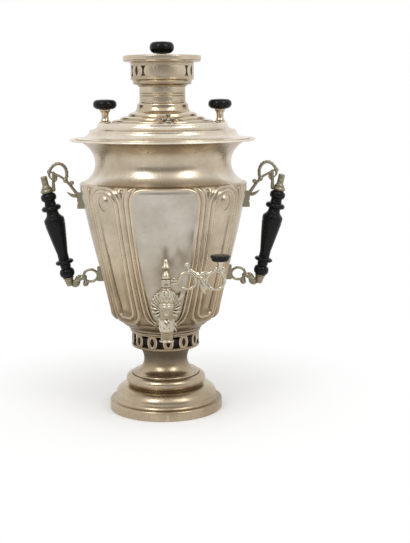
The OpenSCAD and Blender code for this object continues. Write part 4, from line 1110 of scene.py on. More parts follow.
class SAMOVAR_OT_body(Piece):
    """Embosses the body's sheet with its panels, mouldings and eggs."""
    bl_idname = "samovar.body"
    bl_label = "Body"

    def build(self, shape):
        rises = (shape.bead_rise / MM, shape.egg_rise / MM)
        form, plain, hollow = body_form(shape.panel_half, shape.panel_close, *rises)
        made = solid("embossed_body", form, 75)
        write_share(made, "panel", plain)

        # Painted shade in the hollows between the mouldings. The body is also darker towards the foot, over
        # the cup and at its two grooves, partly tarnish and partly painted shade.
        def aged(r, z):
            wall = z > Z_TAPER - 8
            lowness = np.where(wall, 0.5 * climb(z, Z_TAPER + 120, -120) ** 1.2, 0.44)
            grooves = 0.2 * near(z, Z_SHELL + 7.2, 1) + 0.2 * near(z, Z_SHELL + 16.8, 1)
            return 0.66 * hollow + lowness + grooves

        weather(made, aged)
        dress(made, "vessel", "nickel.body", "shell")


class SAMOVAR_OT_neck(Piece):
    """Spins the throat and its flared, rolled rim."""
    bl_idname = "samovar.neck"
    bl_label = "Neck"

    def build(self, shape):
        throat_h = 23
        throat = Z_NECK + throat_h
        flare = 30.5
        lean = math.radians(62)
        depth = (shell_r(Z_NECK) - THROAT_R) / (1 - math.cos(lean))
        path = arc((THROAT_R + depth, throat), depth, throat_h / math.sin(lean), 242, 184, 24)
        path += arc((RIM_R, throat), RIM_R - THROAT_R, flare, 180, 90, 40)
        roll = arc((RIM_R - 0.4, throat + flare - 0.5), 1.1, 1.15, 0, 330, 22)
        made = solid("flared_neck", joined([spin(sheet(path, SHEET_THICK), 192), spin(roll, 192)]))
        # Painted shade on the flare above the throat. Painted highlight bands lie at the neck's foot and on
        # the top of its rim, in the neck's light panel colour.
        weather(
            made, lambda r, z: 0.32 * climb(z, throat + 9, 8) * (r < RIM_R - 5) + 0.05 * near(z, throat, 10),
            highlight_bands=lambda r, z: near(z, Z_NECK + 3, 8) + (z > throat + flare - 1.2))
        dress(made, "vessel", "nickel.neck", "neck")


class SAMOVAR_OT_rosette(Piece):
    """Casts the ribbed shell behind the tap."""
    bl_idname = "samovar.rosette"
    bl_label = "Rosette"

    def build(self, shape):
        place = Z_PIPE - 7.5
        rise = shell_r(place + 10) - shell_r(place - 10)
        tilt = Matrix.Translation((0, -shell_r(place), place)) @ Matrix.Rotation(math.atan(rise / 20), 4, "X")
        forms = [prism(oval(16.6, 20.4, 72), 4.2, -2.2), ball((0, -1, 2), (10.5, 4.2, 12))]
        share = np.linspace(0, 1, 9)
        y = -2.4 - 2.6 * np.sin(np.pi * np.minimum(1, share + 0.15))
        for k in range(shape.rosette_ribs):
            a = 2 * math.pi * (k + 0.5) / shape.rosette_ribs
            turn = a + 0.34 * math.cos(a) * share
            x = lerp(8, 17.4, share) * np.cos(turn)
            z = 1.5 * (1 - share) + lerp(9, 21.2, share) * np.sin(turn)
            forms.append(tube(list(zip(x, y, z)), np.linspace(2.2, 3.9, 9), 4.0, sides=10))
        forms.append(leaf([(15, 7), (18, 13), (20.5, 15.5), (22.5, 15)], 4.6, 2.6, -2.4))
        made = casting("tap_rosette", [placed(form, tilt) for form in forms], shape.cast_grain / MM)
        bored(made, [wall_cutter(place, 30, 24, 128), along_pipe(cylinder(PIPE_R + FIT, 40, 130))], 180)
        dress(made, "vessel", "tap_nickel", "rosette")


def cast_tap(grain):
    """The tap's pipe, barrel and spout in one casting, with their bores."""
    foot = low("tap_body").z
    drop = Z_PIPE - foot
    r = 8.6
    back = shell_r(Z_PIPE) - 4.5
    reach = -TAP_Y
    column = [(0, foot + 0.01 * drop)] + offsets(
        r, foot, (0.1, 0), (0.5, 0.012), (0.1, 0.04), (-1.3, 0.067), (-1.5, 0.15), (-1.5, 0.257),
        (-0.4, 0.279), (0.2, 0.32), (1.2, 0.38), (0.4, 0.446), (1, 0.536), (-0.3, 0.614), (-0.7, 0.658),
        (-0.4, 0.8), (-0.1, 0.967), unit=drop)
    column += offsets(r, Z_PIPE, (0.8, -0.8), (0.8, 0.4), (-0.1, 1.1), (0.8, 1.8), (0.8, 3), (-0.2, 3.8))
    column += offsets(r, Z_BARREL, (0, -8), (0.3, -4), (-0.5, 0)) + [(0, Z_BARREL)]
    forms = [turned(column, 0.4, 96)]
    forms += ring_of(13, r - 0.1, Z_BARREL - 3.2, (1.35, 1.0, 1.5))
    forms += ring_of(9, r - 0.3, Z_PIPE + 8.6, (2.2, 1.1, 3.4))
    forms += ring_of(9, r - 0.2, Z_PIPE + 13, (1.5, 0.9, 2.0), 20)
    stem = offsets(0, foot, (0, 0.62), (1.4, 0.5), (2.38, 0.4), (3.92, 0.31), unit=drop)
    blade = leaf(stem, 4.2, 2.2, -r - 0.1)
    for turn in (16, 78, 134, -16, -78, -134):
        forms.append(placed(blade, Matrix.Rotation(math.radians(turn), 4, "Z")))
    flower_z = foot + 0.81 * drop
    petals = oval(1.9, 1.9, 6, (0, flower_z))
    forms += [ball((x, -r + 0.5, z), (1.2, 0.9, 1.2)) for x, z in petals]
    forms.append(ball((0, -r + 0.4, flower_z), (1.2, 1.3, 1.2)))
    for height in (0.33, 0.47):
        tip = offsets(r, foot + height * drop, (-1.5, 0.06), (1, 0.05), (2.6, 0), (3.4, -0.07), unit=drop)
        forms.append(leaf(tip, 2.6, 2.4))
    forms = [at_tap(form) for form in forms]
    pipe = [(0, back), (PIPE_R, back), (PIPE_R, reach - 9)]
    pipe += [(7.6, reach - 8), (7.6, reach - 4), (0, reach - 4)]
    forms.append(along_pipe(turned(pipe, 0.3, 64)))
    made = casting("tap_casting", forms, grain, 2)
    seat_foot = Z_PIPE - 9
    slope = (PLUG_TOP_R - PLUG_FOOT_R) / (Z_BARREL - seat_foot)
    seat = [(0, seat_foot), (PLUG_FOOT_R + FIT, seat_foot)]
    seat += [(PLUG_TOP_R + FIT + slope, Z_BARREL + 1), (0, Z_BARREL + 1)]
    column_bores = [at_tap(spin(seat, 64)), at_tap(cylinder(SPOUT_BORE_R, foot - 1, Z_PIPE - 8))]
    bored(made, column_bores + [along_pipe(cylinder(PORT_R, back - 1, reach))], 60)
    # Painted shade: the column darkens in its recesses, where the surface lies within its turned radius.
    weather(
        made, lambda out, z: 0.6 * climb(out, r + 0.3, -0.9) * (out > 6.4) * (z < Z_BARREL - 1),
        axis_y=TAP_Y)
    dress(made, "vessel", "tap_nickel", "tap_body")


def turn_plug():
    """The tap's tapered plug with its port, its stem and its finial."""
    up = high("tap_plug").z - Z_BARREL
    hollow_r = 3.2
    line = offsets(0, Z_PIPE - 8.7, (hollow_r, 0), (PLUG_FOOT_R, 0))
    line += offsets(PLUG_TOP_R, Z_BARREL, (0, 0), (0, 0.3), (0.6, 0.3), (1, 1.4), (-0.6, 2.6), (-1.2, 3))
    line += offsets(
        0, Z_BARREL, (4.8, 0.346), (6.2, 0.372), (6.6, 0.404), (5.2, 0.441), (5.4, 0.479), (4.4, 0.53),
        (2.6, 0.601), (2.4, 0.644), (3.4, 0.67), (5.4, 0.707), (5.3, 0.745), (4, 0.81), (3, 0.891),
        (2.4, 0.947), (1.5, 0.985), (0, 1), unit=up)
    line += offsets(0, Z_PIPE + 3, (0, 0), (hollow_r, 0))
    made = solid("tap_plug_and_finial", at_tap(turned(line)))

    # Painted shade: the finial darkens where it narrows into its necks.
    def aged(out, z):
        return 0.45 * (z > Z_BARREL + 2) * climb(out, 5.6, -2.6) * (z < Z_BARREL + 0.9 * up)

    weather(made, aged, axis_y=TAP_Y)
    port = placed(cylinder(PORT_R, 0, 12, 32), Matrix.Rotation(math.radians(-90), 4, "Y"))
    bored(made, [at_tap(port, Z_PIPE)])
    dress(made, "tap_key", "tap_nickel", "tap_plug")


class SAMOVAR_OT_tap(Piece):
    """Casts the tap's body and turns its plug with the finial."""
    bl_idname = "samovar.tap"
    bl_label = "Tap"

    def build(self, shape):
        cast_tap(shape.cast_grain / MM)
        turn_plug()


class SAMOVAR_OT_key(Piece):
    """Casts the openwork key and turns its button."""
    bl_idname = "samovar.key"
    bl_label = "Key"

    def build(self, shape):
        button = low("key_button")
        post = (button.x + high("key_button").x) / 2
        button_up = button.z - Z_KEY
        one = post - 40.2
        two = post - 6
        hub = [(0, -6.4), (6.3, -6.4), (6.5, -5), (6.1, -2), (6.5, 1), (6.2, 2), (0, 2)]
        arm = upright([(4, -2.4), (8, -2.6), (12, -2.2), (one - 9.4, -1.4)])
        forms = [turned(hub, 0.3, 64), tube(arm, (7.4, 7.8, 6.2, 3.6), 4.2)]
        for middle, r, width, thick in ((one, 10.4, 4.3, 5.0), (two, 11.2, 4.2, 4.8)):
            forms.append(tube(upright(oval(r, r, 48, (middle, 0))), width, thick, closed=True))
        line = np.array([
            (0.2, 20.4), (0.9, 17), (3.6, 13), (8.1, 9.8), (13.6, 5.5), (18.4, 1.2), (22, -4.3), (25, -8),
            (29, -10.8)])
        spots = np.linspace(0, len(line) - 1, 33)
        x, z = (np.interp(spots, range(len(line)), line[:, k]) for k in (0, 1))
        width = 4.4 + 1.2 * np.sin(spots * 3.6) ** 2 * (spots > 1)
        forms.append(tube(upright(zip(one + x, z)), width, 5.0))
        for start, width, thick, *points in (
                (0, 2.4, 3.6, (6.5, 1.6), (8, 4.2), (10.5, 3.4), (13.4, -0.4)),
                (one, 4.0, 3.4, (-2.4, 17), (-1.6, 21), (1.6, 23), (3.4, 18.6)),
                (one, 6.2, 3.8, (5, 5), (10, 9.5), (13.5, 8), (15.5, 3)),
                (one, 4.8, 4.0, (14, 5), (19, 9.5), (24, 10.5), (28.4, 8.6)),
                (one, 6.2, 4.0, (18.6, 2.5), (17.6, -6), (19, -12), (21.6, -17.2)),
                (one, 4.0, 3.6, (21, -1), (25, -5), (24, -10), (21, -13)),
                (post, 6.0, 4.6, (-7, 9.4), (-5, 13.5), (-2.4, 14), (-0.4, 18)),
                (post, 5.0, 4.2, (2, 9.8), (4.6, 12), (3.4, 15), (0.8, 18))):
            forms.append(leaf(offsets(start, 0, *points), width, thick))
        stalk = [(0, 10), (2.4, 11), (2.2, 14), (2.8, 18)]
        stalk += offsets(0, button_up, (5, -0.9), (5, 0), (0, 0))
        forms.append(shifted(turned(stalk, 0.3, 48), post))
        forms.append(shifted(cylinder(2, button_up - 1, button_up + 4.5, 32), post))
        made = casting("key_casting", [at_tap(form, Z_KEY) for form in forms], shape.cast_grain / MM, 2)
        bored(made, [at_tap(cylinder(4.85, -9, 5), Z_KEY)], 60)
        dress(made, "tap_key", "tap_nickel", "key_branch")

        r = 12.4
        tall = 7.9
        edge = (r, tall - 2.2)
        line = [(SCREW_R, 0), (r - 3, 0), (r - 2.2, 0.5), (r - 0.3, tall - 3), edge]
        line += round_out(edge, (r - 1.6, tall - 0.7), 8)
        line += [(4, tall - 0.1), (0, tall), (0, 5), (SCREW_R, 5)]
        made = solid("turned_button", shifted(turned(line), post, TAP_Y, button.z))
        dress(made, "tap_key", "ebonised_wood", "key_button")


def bracket(level, side, z, forms, eye, up, hole, grain):
    """Casts a bracket from its forms, which start at the body at a height, and from its eye round the rod."""
    sign = SIDES[side]
    forms = [shifted(form, shell_r(z), 0, z) for form in forms] + [on_grip(turned(eye, 0.4, 64), up)]
    made = casting(level + "_casting_" + side, [mirrored(form, sign) for form in forms], grain, 2)
    bore = mirrored(on_grip(cylinder(ROD_HOLE_R, *hole), up), sign)
    bored(made, [wall_cutter(z, 20, 30), bore], 60)
    dress(made, "vessel", "bracket_brass", level + "_bracket_" + side)


def upper_casting(side, grain):
    """The scroll bracket over a grip."""
    span = 45.7
    leg = span - 8.4
    knot = (span * 0.475, 26)
    arch = bend(knot, (13.7, 46), (34.7, 58), (leg + 5.6, 36), 20)
    forms = [tube(upright(arch), np.linspace(4.4, 3.8, 21), 5.0)]
    for k in range(2, 20, 2):
        (a, b), (c, d) = arch[k - 1], arch[k + 1]
        out = 1.3 * np.array((b - d, c - a)) / math.hypot(c - a, d - b)
        forms.append(ball((arch[k][0] + out[0], 0, arch[k][1] + out[1]), (1.3, 2.3, 1.3)))
    forms.append(tube(upright(bend(knot, (knot[0] + 4, 31), (leg - 6, 32), (leg, 36), 12)), 3.2, 4.2))
    forms.append(tube(upright(bend((5, 6), (9, 9), (13, 18), knot, 12)), np.linspace(5, 3.6, 13), 4.8))
    post = upright(offsets(leg, 0, (0, 36.4), (-0.2, 30), (0.2, 24), (0, 14)))
    forms.append(tube(post, (3.6, 4.4, 4, 5.2), 4.6))
    curl = (13.4, 22.5)
    forms.append(scroll(curl, 300, 3.2, 1.1, 2.2, 4.0))
    for (x, z), radii in (
            (knot, (3.3, 2.7, 3.3)), (curl, (2.4, 2.3, 2.4)), ((leg + 5.2, 37.6), (3.0, 2.7, 3.0)),
            ((6.2, 2), (1.6, 3.4, 3))):
        forms.append(ball((x, 0, z), radii))
    forms.append(leaf([(6, 5), (11, 5), (16, 7), (20.5, 11.6)], 4.0, 3.6))
    forms.append(leaf(offsets(leg, 0, (-1.4, 33), (-5, 30), (-4.4, 26), (-1.5, 24)), 2.8, 3.4))
    forms.append(leaf(offsets(leg, 0, (3, 38), (6.6, 36), (6, 31), (1.8, 27)), 3.0, 3.6))
    block = [
        (-3, -10.8), (6.9, -10.8), (7.3, -10), (7.3, -5), (6.4, -3), (7.3, -1), (7.3, 8), (6.2, 10.6),
        (-3, 10.9)]
    forms.append(prism(block, 7.8))
    eye = [(0, 0), (8.4, 0), (9, 0.6), (8.2, 1.8), (7.4, 3.2), (6.4, EYE_H), (0, EYE_H)]
    foot = low("upper_bracket_right").z + 11
    bracket("upper", side, foot, forms, eye, grip_axis()[2], (-2, EYE_H + 6), grain)


def lower_casting(side, grain):
    """The looped bracket under a grip."""
    span = 42.8
    x, z = 14.8, -1.4
    forms = [tube(upright(oval(9.2, 7.9, 40, (x, z))), 3.4, 4.6, closed=True)]
    for a in np.radians((40, 100, 160, 215)):
        forms.append(ball((x + 9.6 * math.cos(a), 0, z + 8.3 * math.sin(a)), (1.9, 2.4, 1.9)))
    link = upright(bend((x + 8, z - 2), (x + 16, -4), (span - 12, -12), (span - 2, -10.5), 16))
    widths = np.concatenate([np.linspace(6.6, 4.8, 8), np.linspace(5.0, 7.6, 9)])
    forms.append(tube(link, widths, 4.6))
    forms.append(leaf(offsets(x, z, (3, -7), (6, -13), (10, -14), (8.6, -5)), 5.4, 4.2))
    forms.append(leaf(offsets(x, 0, (10, -3), (15, -0.5), (19, -4), (22, -9)), 4.4, 4.0))
    forms.append(leaf(offsets(span, 0, (-14, -10), (-10, -15), (-5, -16), (-2, -13)), 4.2, 4.0))
    block = [
        (-2, -8.8), (5.6, -8.8), (6.1, -8), (6.1, -3), (5.4, -1), (6.1, 1), (6.1, 10), (5.4, 10.9),
        (0.5, 10.9)]
    forms.append(prism(block, 6.4))
    boss = [
        (0, -BOSS_H), (3.9, -BOSS_H), (4.5, -4.4), (4.3, -2.6), (5.4, -1.4), (5.0, 0), (5.8, 2),
        (6.2, BOSS_H - 0.6), (5.9, BOSS_H), (0, BOSS_H)]
    bracket("lower", side, Z_TAPER + 50, forms, boss, 0, (-BOSS_H + 1, BOSS_H + 3), grain)


class SAMOVAR_OT_handles(Piece):
    """Casts the four brackets and turns the two grips, with their washers and nuts."""
    bl_idname = "samovar.handles"
    bl_label = "Handles"

    def build(self, shape):
        length = grip_axis()[2]
        foot = BOSS_H + WASHER_H
        tall = length - WASHER_H - foot
        rim = ROD_HOLE_R

        def at(share):
            return foot + share * tall

        def washer(r):
            return [(rim, 0), (r - 0.4, 0), (r, 0.4), (r, 1), (r - 0.5, WASHER_H), (rim, WASHER_H)]

        line = [(rim, at(0)), (6.5, at(0))] + bead(at(0.005), at(0.105), 6.4, 9.9, 14) + [(7, at(0.13))]
        line += bead(at(0.155), at(0.21), 7.2, 12, 12) + [(7, at(0.24)), (7.1, at(0.29))]
        line += [(lerp(7.1, 13.2, t**0.92), at(lerp(0.29, 0.63, t))) for t in np.linspace(0.06, 1, 14)]
        line += offsets(
            0, foot, (12.7, 0.634), (12.7, 0.638), (13.2, 0.642), (13.4, 0.66), (13.2, 0.694),
            (12.6, 0.702), (10.2, 0.722), (8.4, 0.745), (7.8, 0.765), unit=tall)
        line += bead(at(0.785), at(0.855), 7.8, 12.8, 12) + [(7.2, at(0.885))]
        line += bead(at(0.905), at(0.99), 7.2, 10.2, 12) + [(6.8, at(1)), (rim, at(1))]
        nut = [
            (rim, 0), (6.4, 0), (6.6, 0.3), (6.6, 1.3), (5.4, 2.2), (4.7, 3.6), (4.3, 5.4), (4.2, 7),
            (4.5, 7.6), (4.5, 8.6), (4.2, 9.2), (4.4, 14.8), (4.1, 15.8), (3.2, 16.4), (0, 16.8), (0, 8.6),
            (rim, 8.6)]
        for side, sign in SIDES.items():
            upper_casting(side, shape.cast_grain / MM)
            lower_casting(side, shape.cast_grain / MM)
            for name, outline, rounding, up, slot, cad in (
                    ("turned_grip_", line, 0.3, 0, "ebonised_wood", "grip_"),
                    ("grip_cap_", washer(8), 0.2, length - WASHER_H, "bracket_brass", "top_washer_"),
                    ("grip_ferrule_", washer(7.4), 0.2, BOSS_H, "bracket_brass", "low_washer_"),
                    ("handle_nut_", nut, 0.3, length + EYE_H, "bracket_brass", "cap_nut_")):
                form = mirrored(on_grip(turned(outline, rounding), up), sign)
                dress(solid(name + side, form), "vessel", slot, cad + side)


def knob_outline(r, tall, hole, depth, neck=7.5):
    """Half the outline of a turned knob with a nearly flat top and a blind hole."""
    line = [(hole, 0), (neck - 0.4, 0), (neck, 0.3)]
    for a in np.linspace(0.2, math.pi / 2, 10):
        line.append((lerp(neck, r, math.sin(a)), tall * 0.48 * (1 - math.cos(a))))
    for a in np.linspace(0.16, math.pi / 2, 10):
        line.append((lerp(r, r * 0.68, 1 - math.cos(a)), tall * (0.48 + 0.46 * math.sin(a))))
    return line + [(r * 0.35, tall * 0.985), (0, tall), (0, depth), (hole, depth)]


class SAMOVAR_OT_lid(Piece):
    """Spins the stepped lid with its spigot, and turns its two knobs."""
    bl_idname = "samovar.lid"
    bl_label = "Lid"

    def build(self, shape):
        lid_r = 111.5
        step_r = 94.5
        spigot_r = 97.9
        foot = low("lid").z
        rings = [lerp(65.5, 34.4, k / 3) for k in range(4)]
        levels = [Z_FLAT + up for up in (0, 3.4, 7.6, 13.2)]
        edge = (lid_r - 3, Z_LID + 0.6)
        step = (step_r, Z_LID + 9.4)
        step_in = (step_r - 2.5, step[1] + 1.4)
        bank = (83.5, Z_FLAT - 2)
        collar = (32.9, Z_COLLAR - 2.5)
        path = [(lid_r, Z_LID), edge] + round_in(edge, step, 16) + round_out(step, step_in, 6)
        path += round_in(step_in, bank, 12) + round_out(bank, (81, Z_FLAT), 6)
        for k, ledge in enumerate((4, 4, 3)):
            path.append((rings[k], levels[k]))
            start = (rings[k] - 0.3, levels[k] + 1)
            path += round_out(start, (rings[k + 1] + ledge, levels[k + 1]), 12)
        path += round_in((rings[3] + 3, levels[3]), collar, 12)
        path += round_out(collar, (30.9, Z_COLLAR), 6) + [(28.2, Z_COLLAR)]
        made = solid("stepped_lid", turned(sheet(path, SHEET_THICK), 0.25, 160))
        holes = [shifted(cylinder(2.2, -4, 4, 32), side * KNOB_X, 0, Z_FLAT) for side in (-1, 1)]
        bored(made, holes + [at_vent(cylinder(7.0, -4, 4))])

        # Painted shade at the foot of each step and of the collar, and in bands at radii 60 and 89. Painted
        # highlight bands lie at radii 75 and 100 and on the rim.
        def aged(r, z):
            folds = sum(0.4 * near(r, a, 1.6) * near(z, b, 2.5) for a, b in zip(rings[:3], levels))
            collar_foot = 0.3 * near(r, 34.5, 4) * (z > levels[3])
            return folds + collar_foot + 0.26 * near(r, 60, 5) + 0.26 * near(r, 89, 4)

        weather(made, aged, highlight_bands=lambda r, z: 0.9 * near(r, 75, 9) + 0.5 * near(r, 100, 6) + 0.6 * (r > 108))
        dress(made, "lid", "nickel.lid", "lid")
        spigot = offsets(spigot_r, Z_LID, (0, 2.8), (-1.4, 3.4)) + offsets(spigot_r, foot, (-1.4, 0), (0, 0))
        dress(solid("lid_spigot", turned(spigot, 0.2, 192)), "lid", "nickel")

        stem_h = low("lid_knob_right").z - Z_FLAT
        stem = [(SCREW_R, 0), (7.4, 0), (7.6, 0.3), (7.6, 0.9)]
        stem += round_in((7.2, 1.1), (4.5, stem_h * 0.45), 10)
        stem += offsets(0, 0, (4.4, 0.55), (4.6, 0.64), (5.4, 0.78), unit=stem_h)
        stem += [(6.8, stem_h - 2), (7, stem_h - 1.6), (7, stem_h), (SCREW_R, stem_h)]
        knob = knob_outline(15.25, 13, SCREW_R, 9)
        for side, sign in SIDES.items():
            form = shifted(turned(stem, 0.25, 64), sign * KNOB_X, 0, Z_FLAT)
            dress(solid("lid_stem_" + side, form), "lid", "nickel", "knob_stem_" + side)
            form = shifted(turned(knob, 0.25, 80), sign * KNOB_X, 0, Z_FLAT + stem_h)
            dress(solid("turned_knob_" + side, form), "lid", "ebonised_wood", "lid_knob_" + side)


def at_vent(form, up=0.0):
    """A form moved onto the steam vent's axis, up from the lid's flat."""
    low_x, high_x = low("vent_seat"), high("vent_seat")
    x, y = (low_x.x + high_x.x) / 2, (low_x.y + high_x.y) / 2
    turn = math.atan2(x, -y)
    return placed(form, Matrix.Translation((x, y, Z_FLAT + up)) @ Matrix.Rotation(turn, 4, "Z"))


class SAMOVAR_OT_steam_vent(Piece):
    """Casts the winged cap of the steam vent, and makes the pin under it."""
    bl_idname = "samovar.steam_vent"
    bl_label = "Steam vent"

    def build(self, shape):
        tall = high("vent_cap").z - Z_FLAT - 3.5
        disc = [(0, 0), (7.2, 0), (7.5, 0.5), (7, 1.5), (5.5, 2.1), (0, 2.4)]
        spike = [(0, 1.5), (3.2, 1.8), (2.7, 3), (1.6, 5)]
        spike += offsets(0, 0, (1.35, 0.55), (2.6, 0.84), (3.05, 0.92), (2.4, 0.985), (0, 1), unit=tall)
        forms = [turned(disc, 0.3, 64), turned(spike, 0.2, 48)]
        share = np.linspace(0, 1, 9)
        taper = 0.3 + 0.75 * np.sin(np.pi * share**0.8)
        thick = 2.0 * (0.5 + 0.5 * np.sin(np.pi * share))
        z = 1.8 + 3.2 * np.sin(np.pi * share) * (1 - 0.3 * share)
        for side in (-1, 1):
            for start, tip, width in (
                    ((4, 0), (18.2, 0), 5.0), ((4, -2), (15, -4.2), 4.2), ((4, 2), (15, 4.2), 4.2),
                    ((3, -4), (9, -6), 3.2), ((3, 4), (9, 6), 3.2)):
                x, y = (lerp(a, b, share) for a, b in zip(start, tip))
                path = list(zip(side * x, y, z))
                forms.append(tube(path, width * taper, thick, sides=10, up=(0, 0, 1)))
            forms.append(ball((side * 5, 0, 4.2), (2.2, 2.0, 1.8)))
        made = casting("winged_vent", [at_vent(form, 1.5) for form in forms], 0.35, 1)
        turns = np.radians(30 + 60 * np.arange(6))
        steam_hole = cylinder(1.1, -1, 6, 24)
        holes = [at_vent(shifted(steam_hole, 4.4 * math.cos(a), 4.4 * math.sin(a)), 1.5) for a in turns]
        bored(made, holes, 60)
        dress(made, "steam_vent", "tap_nickel.vent", "vent_cap")
        pin = at_vent(cylinder(1.7, -2.9, 2, 32))
        dress(solid("vent_pin", pin), "steam_vent", "tap_nickel")


class SAMOVAR_OT_crown(Piece):
    """Spins the crown's sleeve, its pierced drum and the plate for the teapot."""
    bl_idname = "samovar.crown"
    bl_label = "Crown"

    def build(self, shape):
        inner = SLEEVE_R - 1.3
        sleeve = offsets(SLEEVE_R, Z_CROWN, (SLEEVE_LIP, 0), (SLEEVE_LIP, 1.6), (0, 2.2))
        for share in (0.42, 0.58):
            z = lerp(Z_CROWN, Z_COVE, share)
            sleeve += offsets(SLEEVE_R, z, (0, -0.8), (-0.45, -0.2), (-0.45, 0.2), (0, 0.8))
        sleeve += [(SLEEVE_R, Z_COVE), (inner, Z_COVE), (inner, Z_CROWN)]
        made = solid("crown_foot", turned(sleeve, 0.2, 144))
        weather(
            made, lambda r, z: 0.08 + 0.5 * (r < SLEEVE_R - 0.2),
            lambda r, z: np.where(r < inner + 0.2, 1, 0))
        dress(made, "crown", "nickel.crown", "crown_sleeve")

        drum_z = Z_COVE + 10
        line = offsets(SLEEVE_R, Z_COVE, (1.6, 0), (1.6, 1.4), (4, 2.6))
        line += arc((DRUM_R - 4.6, Z_COVE + 4.6), 1.8, 1.8, -80, -20, 8)
        line += offsets(DRUM_R, Z_COVE, (-3, 5.4), (-2.6, 6.6))
        bow, head = offsets(DRUM_R, drum_z, (-1.2, -1.4), (-0.6, -1.2))
        line += bend(line[-1], (DRUM_R - 2.2, Z_COVE + 8), bow, head, 6)[1:]
        line += bead(drum_z - 0.9, drum_z + 0.9, DRUM_R - 0.1, DRUM_R + 0.5, 8)
        line += offsets(DRUM_R, drum_z, (0, 1.2), (0, 2.2), (-0.3, 2.4), (0, 2.6))
        line += offsets(DRUM_R, Z_PLATE, (0, -4.6), (-0.3, -4.4), (0, -4.2), (0, -3))
        line += bead(Z_PLATE - 2.8, Z_PLATE - 1.2, DRUM_R, DRUM_R + 0.5, 8)
        line += offsets(DRUM_R, Z_PLATE, (0, -1), (0, 0), (-1.3, 0))
        line += [(DRUM_R - 1.3, drum_z - 0.4), (DRUM_R - 4.2, Z_COVE + 6.4)]
        line += [(SLEEVE_R + 1.6, Z_COVE + 3.4), (inner, Z_COVE + 1.5), (inner, Z_COVE)]
        open_half = 6.4
        slot = oval(2.8, open_half, 28)
        waisted = hourglass(3.2, 4.8, open_half)
        tools = [
            piercing(outline, math.radians(group + turn), DRUM_R, drum_z + 9.5)
            for group in (-54, 66, 186) for turn, outline in ((0, slot), (17, waisted), (-17, waisted))]
        made = bored(solid("pierced_drum", turned(line, 0.15, 160)), tools)
        weather(
            made, lambda r, z: 0.12 + 0.4 * near(z, Z_COVE + 2, 2.5),
            lambda r, z: np.where((r < DRUM_R - 1) & (z > drum_z + 0.5), 1, 0))
        dress(made, "crown", "nickel.crown", "crown_drum")

        mouth = 33
        rim = [(mouth, Z_PLATE), (PLATE_R - 3, Z_PLATE)]
        rim += round_out((PLATE_R - 0.6, Z_PLATE + 0.6), (PLATE_R - 1, Z_PLATE + 1.6), 4)
        rim += [(PLATE_R, Z_PLATE + 2.2), (PLATE_R, Z_TOP - 1.5)]
        rim += round_out((PLATE_R, Z_TOP - 1.5), (PLATE_R - 1.5, Z_TOP), 8)
        rim += offsets(PLATE_R, Z_TOP, (-4, 0), (-5, -0.35))
        rim += offsets(mouth, Z_TOP, (4, -0.35), (3, 0), (0, 0))
        dress(solid("teapot_plate", turned(rim, 0.2, 160)), "crown", "nickel.crown", "crown_plate")


class SAMOVAR_OT_damper(Piece):
    """Spins the damper's cap and stem, and turns its knob."""
    bl_idname = "samovar.damper"
    bl_label = "Damper"

    def build(self, shape):
        skirt = 8
        z = low("damper").z + skirt
        r = high("damper").x
        line = [(SCREW_R, z)]
        line += offsets(0, z, (24.3, 0), (24.3, -skirt), (25.5, -skirt), (25.5, 0), (r, 0), (r, 1))
        line += round_out((r, z + 1), (10, z + 3), 12) + [(SCREW_R, z + 3)]
        dress(solid("damper_cap", turned(line, 0.25, 144)), "damper_cap", "nickel.crown", "damper")
        knob_z = low("damper_knob").z
        stem = offsets(0, z, (0, -1.6), (5, -1.6), (5, -0.1), (2, -0.1))
        stem += offsets(0, z + 3, (2, 0), (5.8, 0), (6, 0.3), (6, 1.4), (3.6, 4), (3.4, 5))
        stem += offsets(0, knob_z, (3.4, -7), (6, -2.2), (6.2, -1.8), (6.2, 0), (2, 0), (2, 9.5), (0, 9.5))
        made = solid("damper_spindle", turned(stem, 0.2))
        dress(made, "damper_cap", "nickel.crown", "damper_stem")
        knob = shifted(turned(knob_outline(15.75, 15.5, SCREW_R, 10), 0.25, 80), z=knob_z)
        dress(solid("turned_damper_knob", knob), "damper_cap", "ebonised_wood", "damper_knob")


class SAMOVAR_OT_inner_parts(Piece):
    """Gives the frame's own inner parts their finishes."""
    bl_idname = "samovar.inner_parts"
    bl_label = "Inner parts"

    def build(self, shape):
        finishes = {
            "cast_iron": ("water_floor", "grate", "ash_cup"), "tinned_brass": ("firebox", "fire_tube"),
            "nickel": ("vent_seat",),
            "steel": ("grip_rod_left", "grip_rod_right", "knob_bolts", "vent_washer")}
        for slot, names in finishes.items():
            for name in names:
                refinish(name, slot)


def soft_box(name, place, aim, size, power):
    """A rectangular lamp that faces a point, all in metres and watts."""
    lamp = bpy.data.lights.new(name, "AREA")
    lamp.shape = "RECTANGLE"
    lamp.size, lamp.size_y = size
    lamp.energy = power
    made = bpy.data.objects.new(name, lamp)
    made.location = place
    made.rotation_euler = (Vector(aim) - Vector(place)).to_track_quat("-Z", "Y").to_euler()
    bpy.context.scene.collection.objects.link(made)


def smooth_fade(tree, value, start, end):
    """A share that climbs softly from 0 to 1 between two values."""
    inputs = (value, start, end, 0.0, 1.0)
    return node(tree, "ShaderNodeMapRange", inputs, interpolation_type="SMOOTHSTEP").outputs[0]


def chosen(tree, share, a, b):
    """The value at a share of the way from a to b."""
    return node(tree, "ShaderNodeMix", (share, None, a, b), data_type="FLOAT").outputs[0]


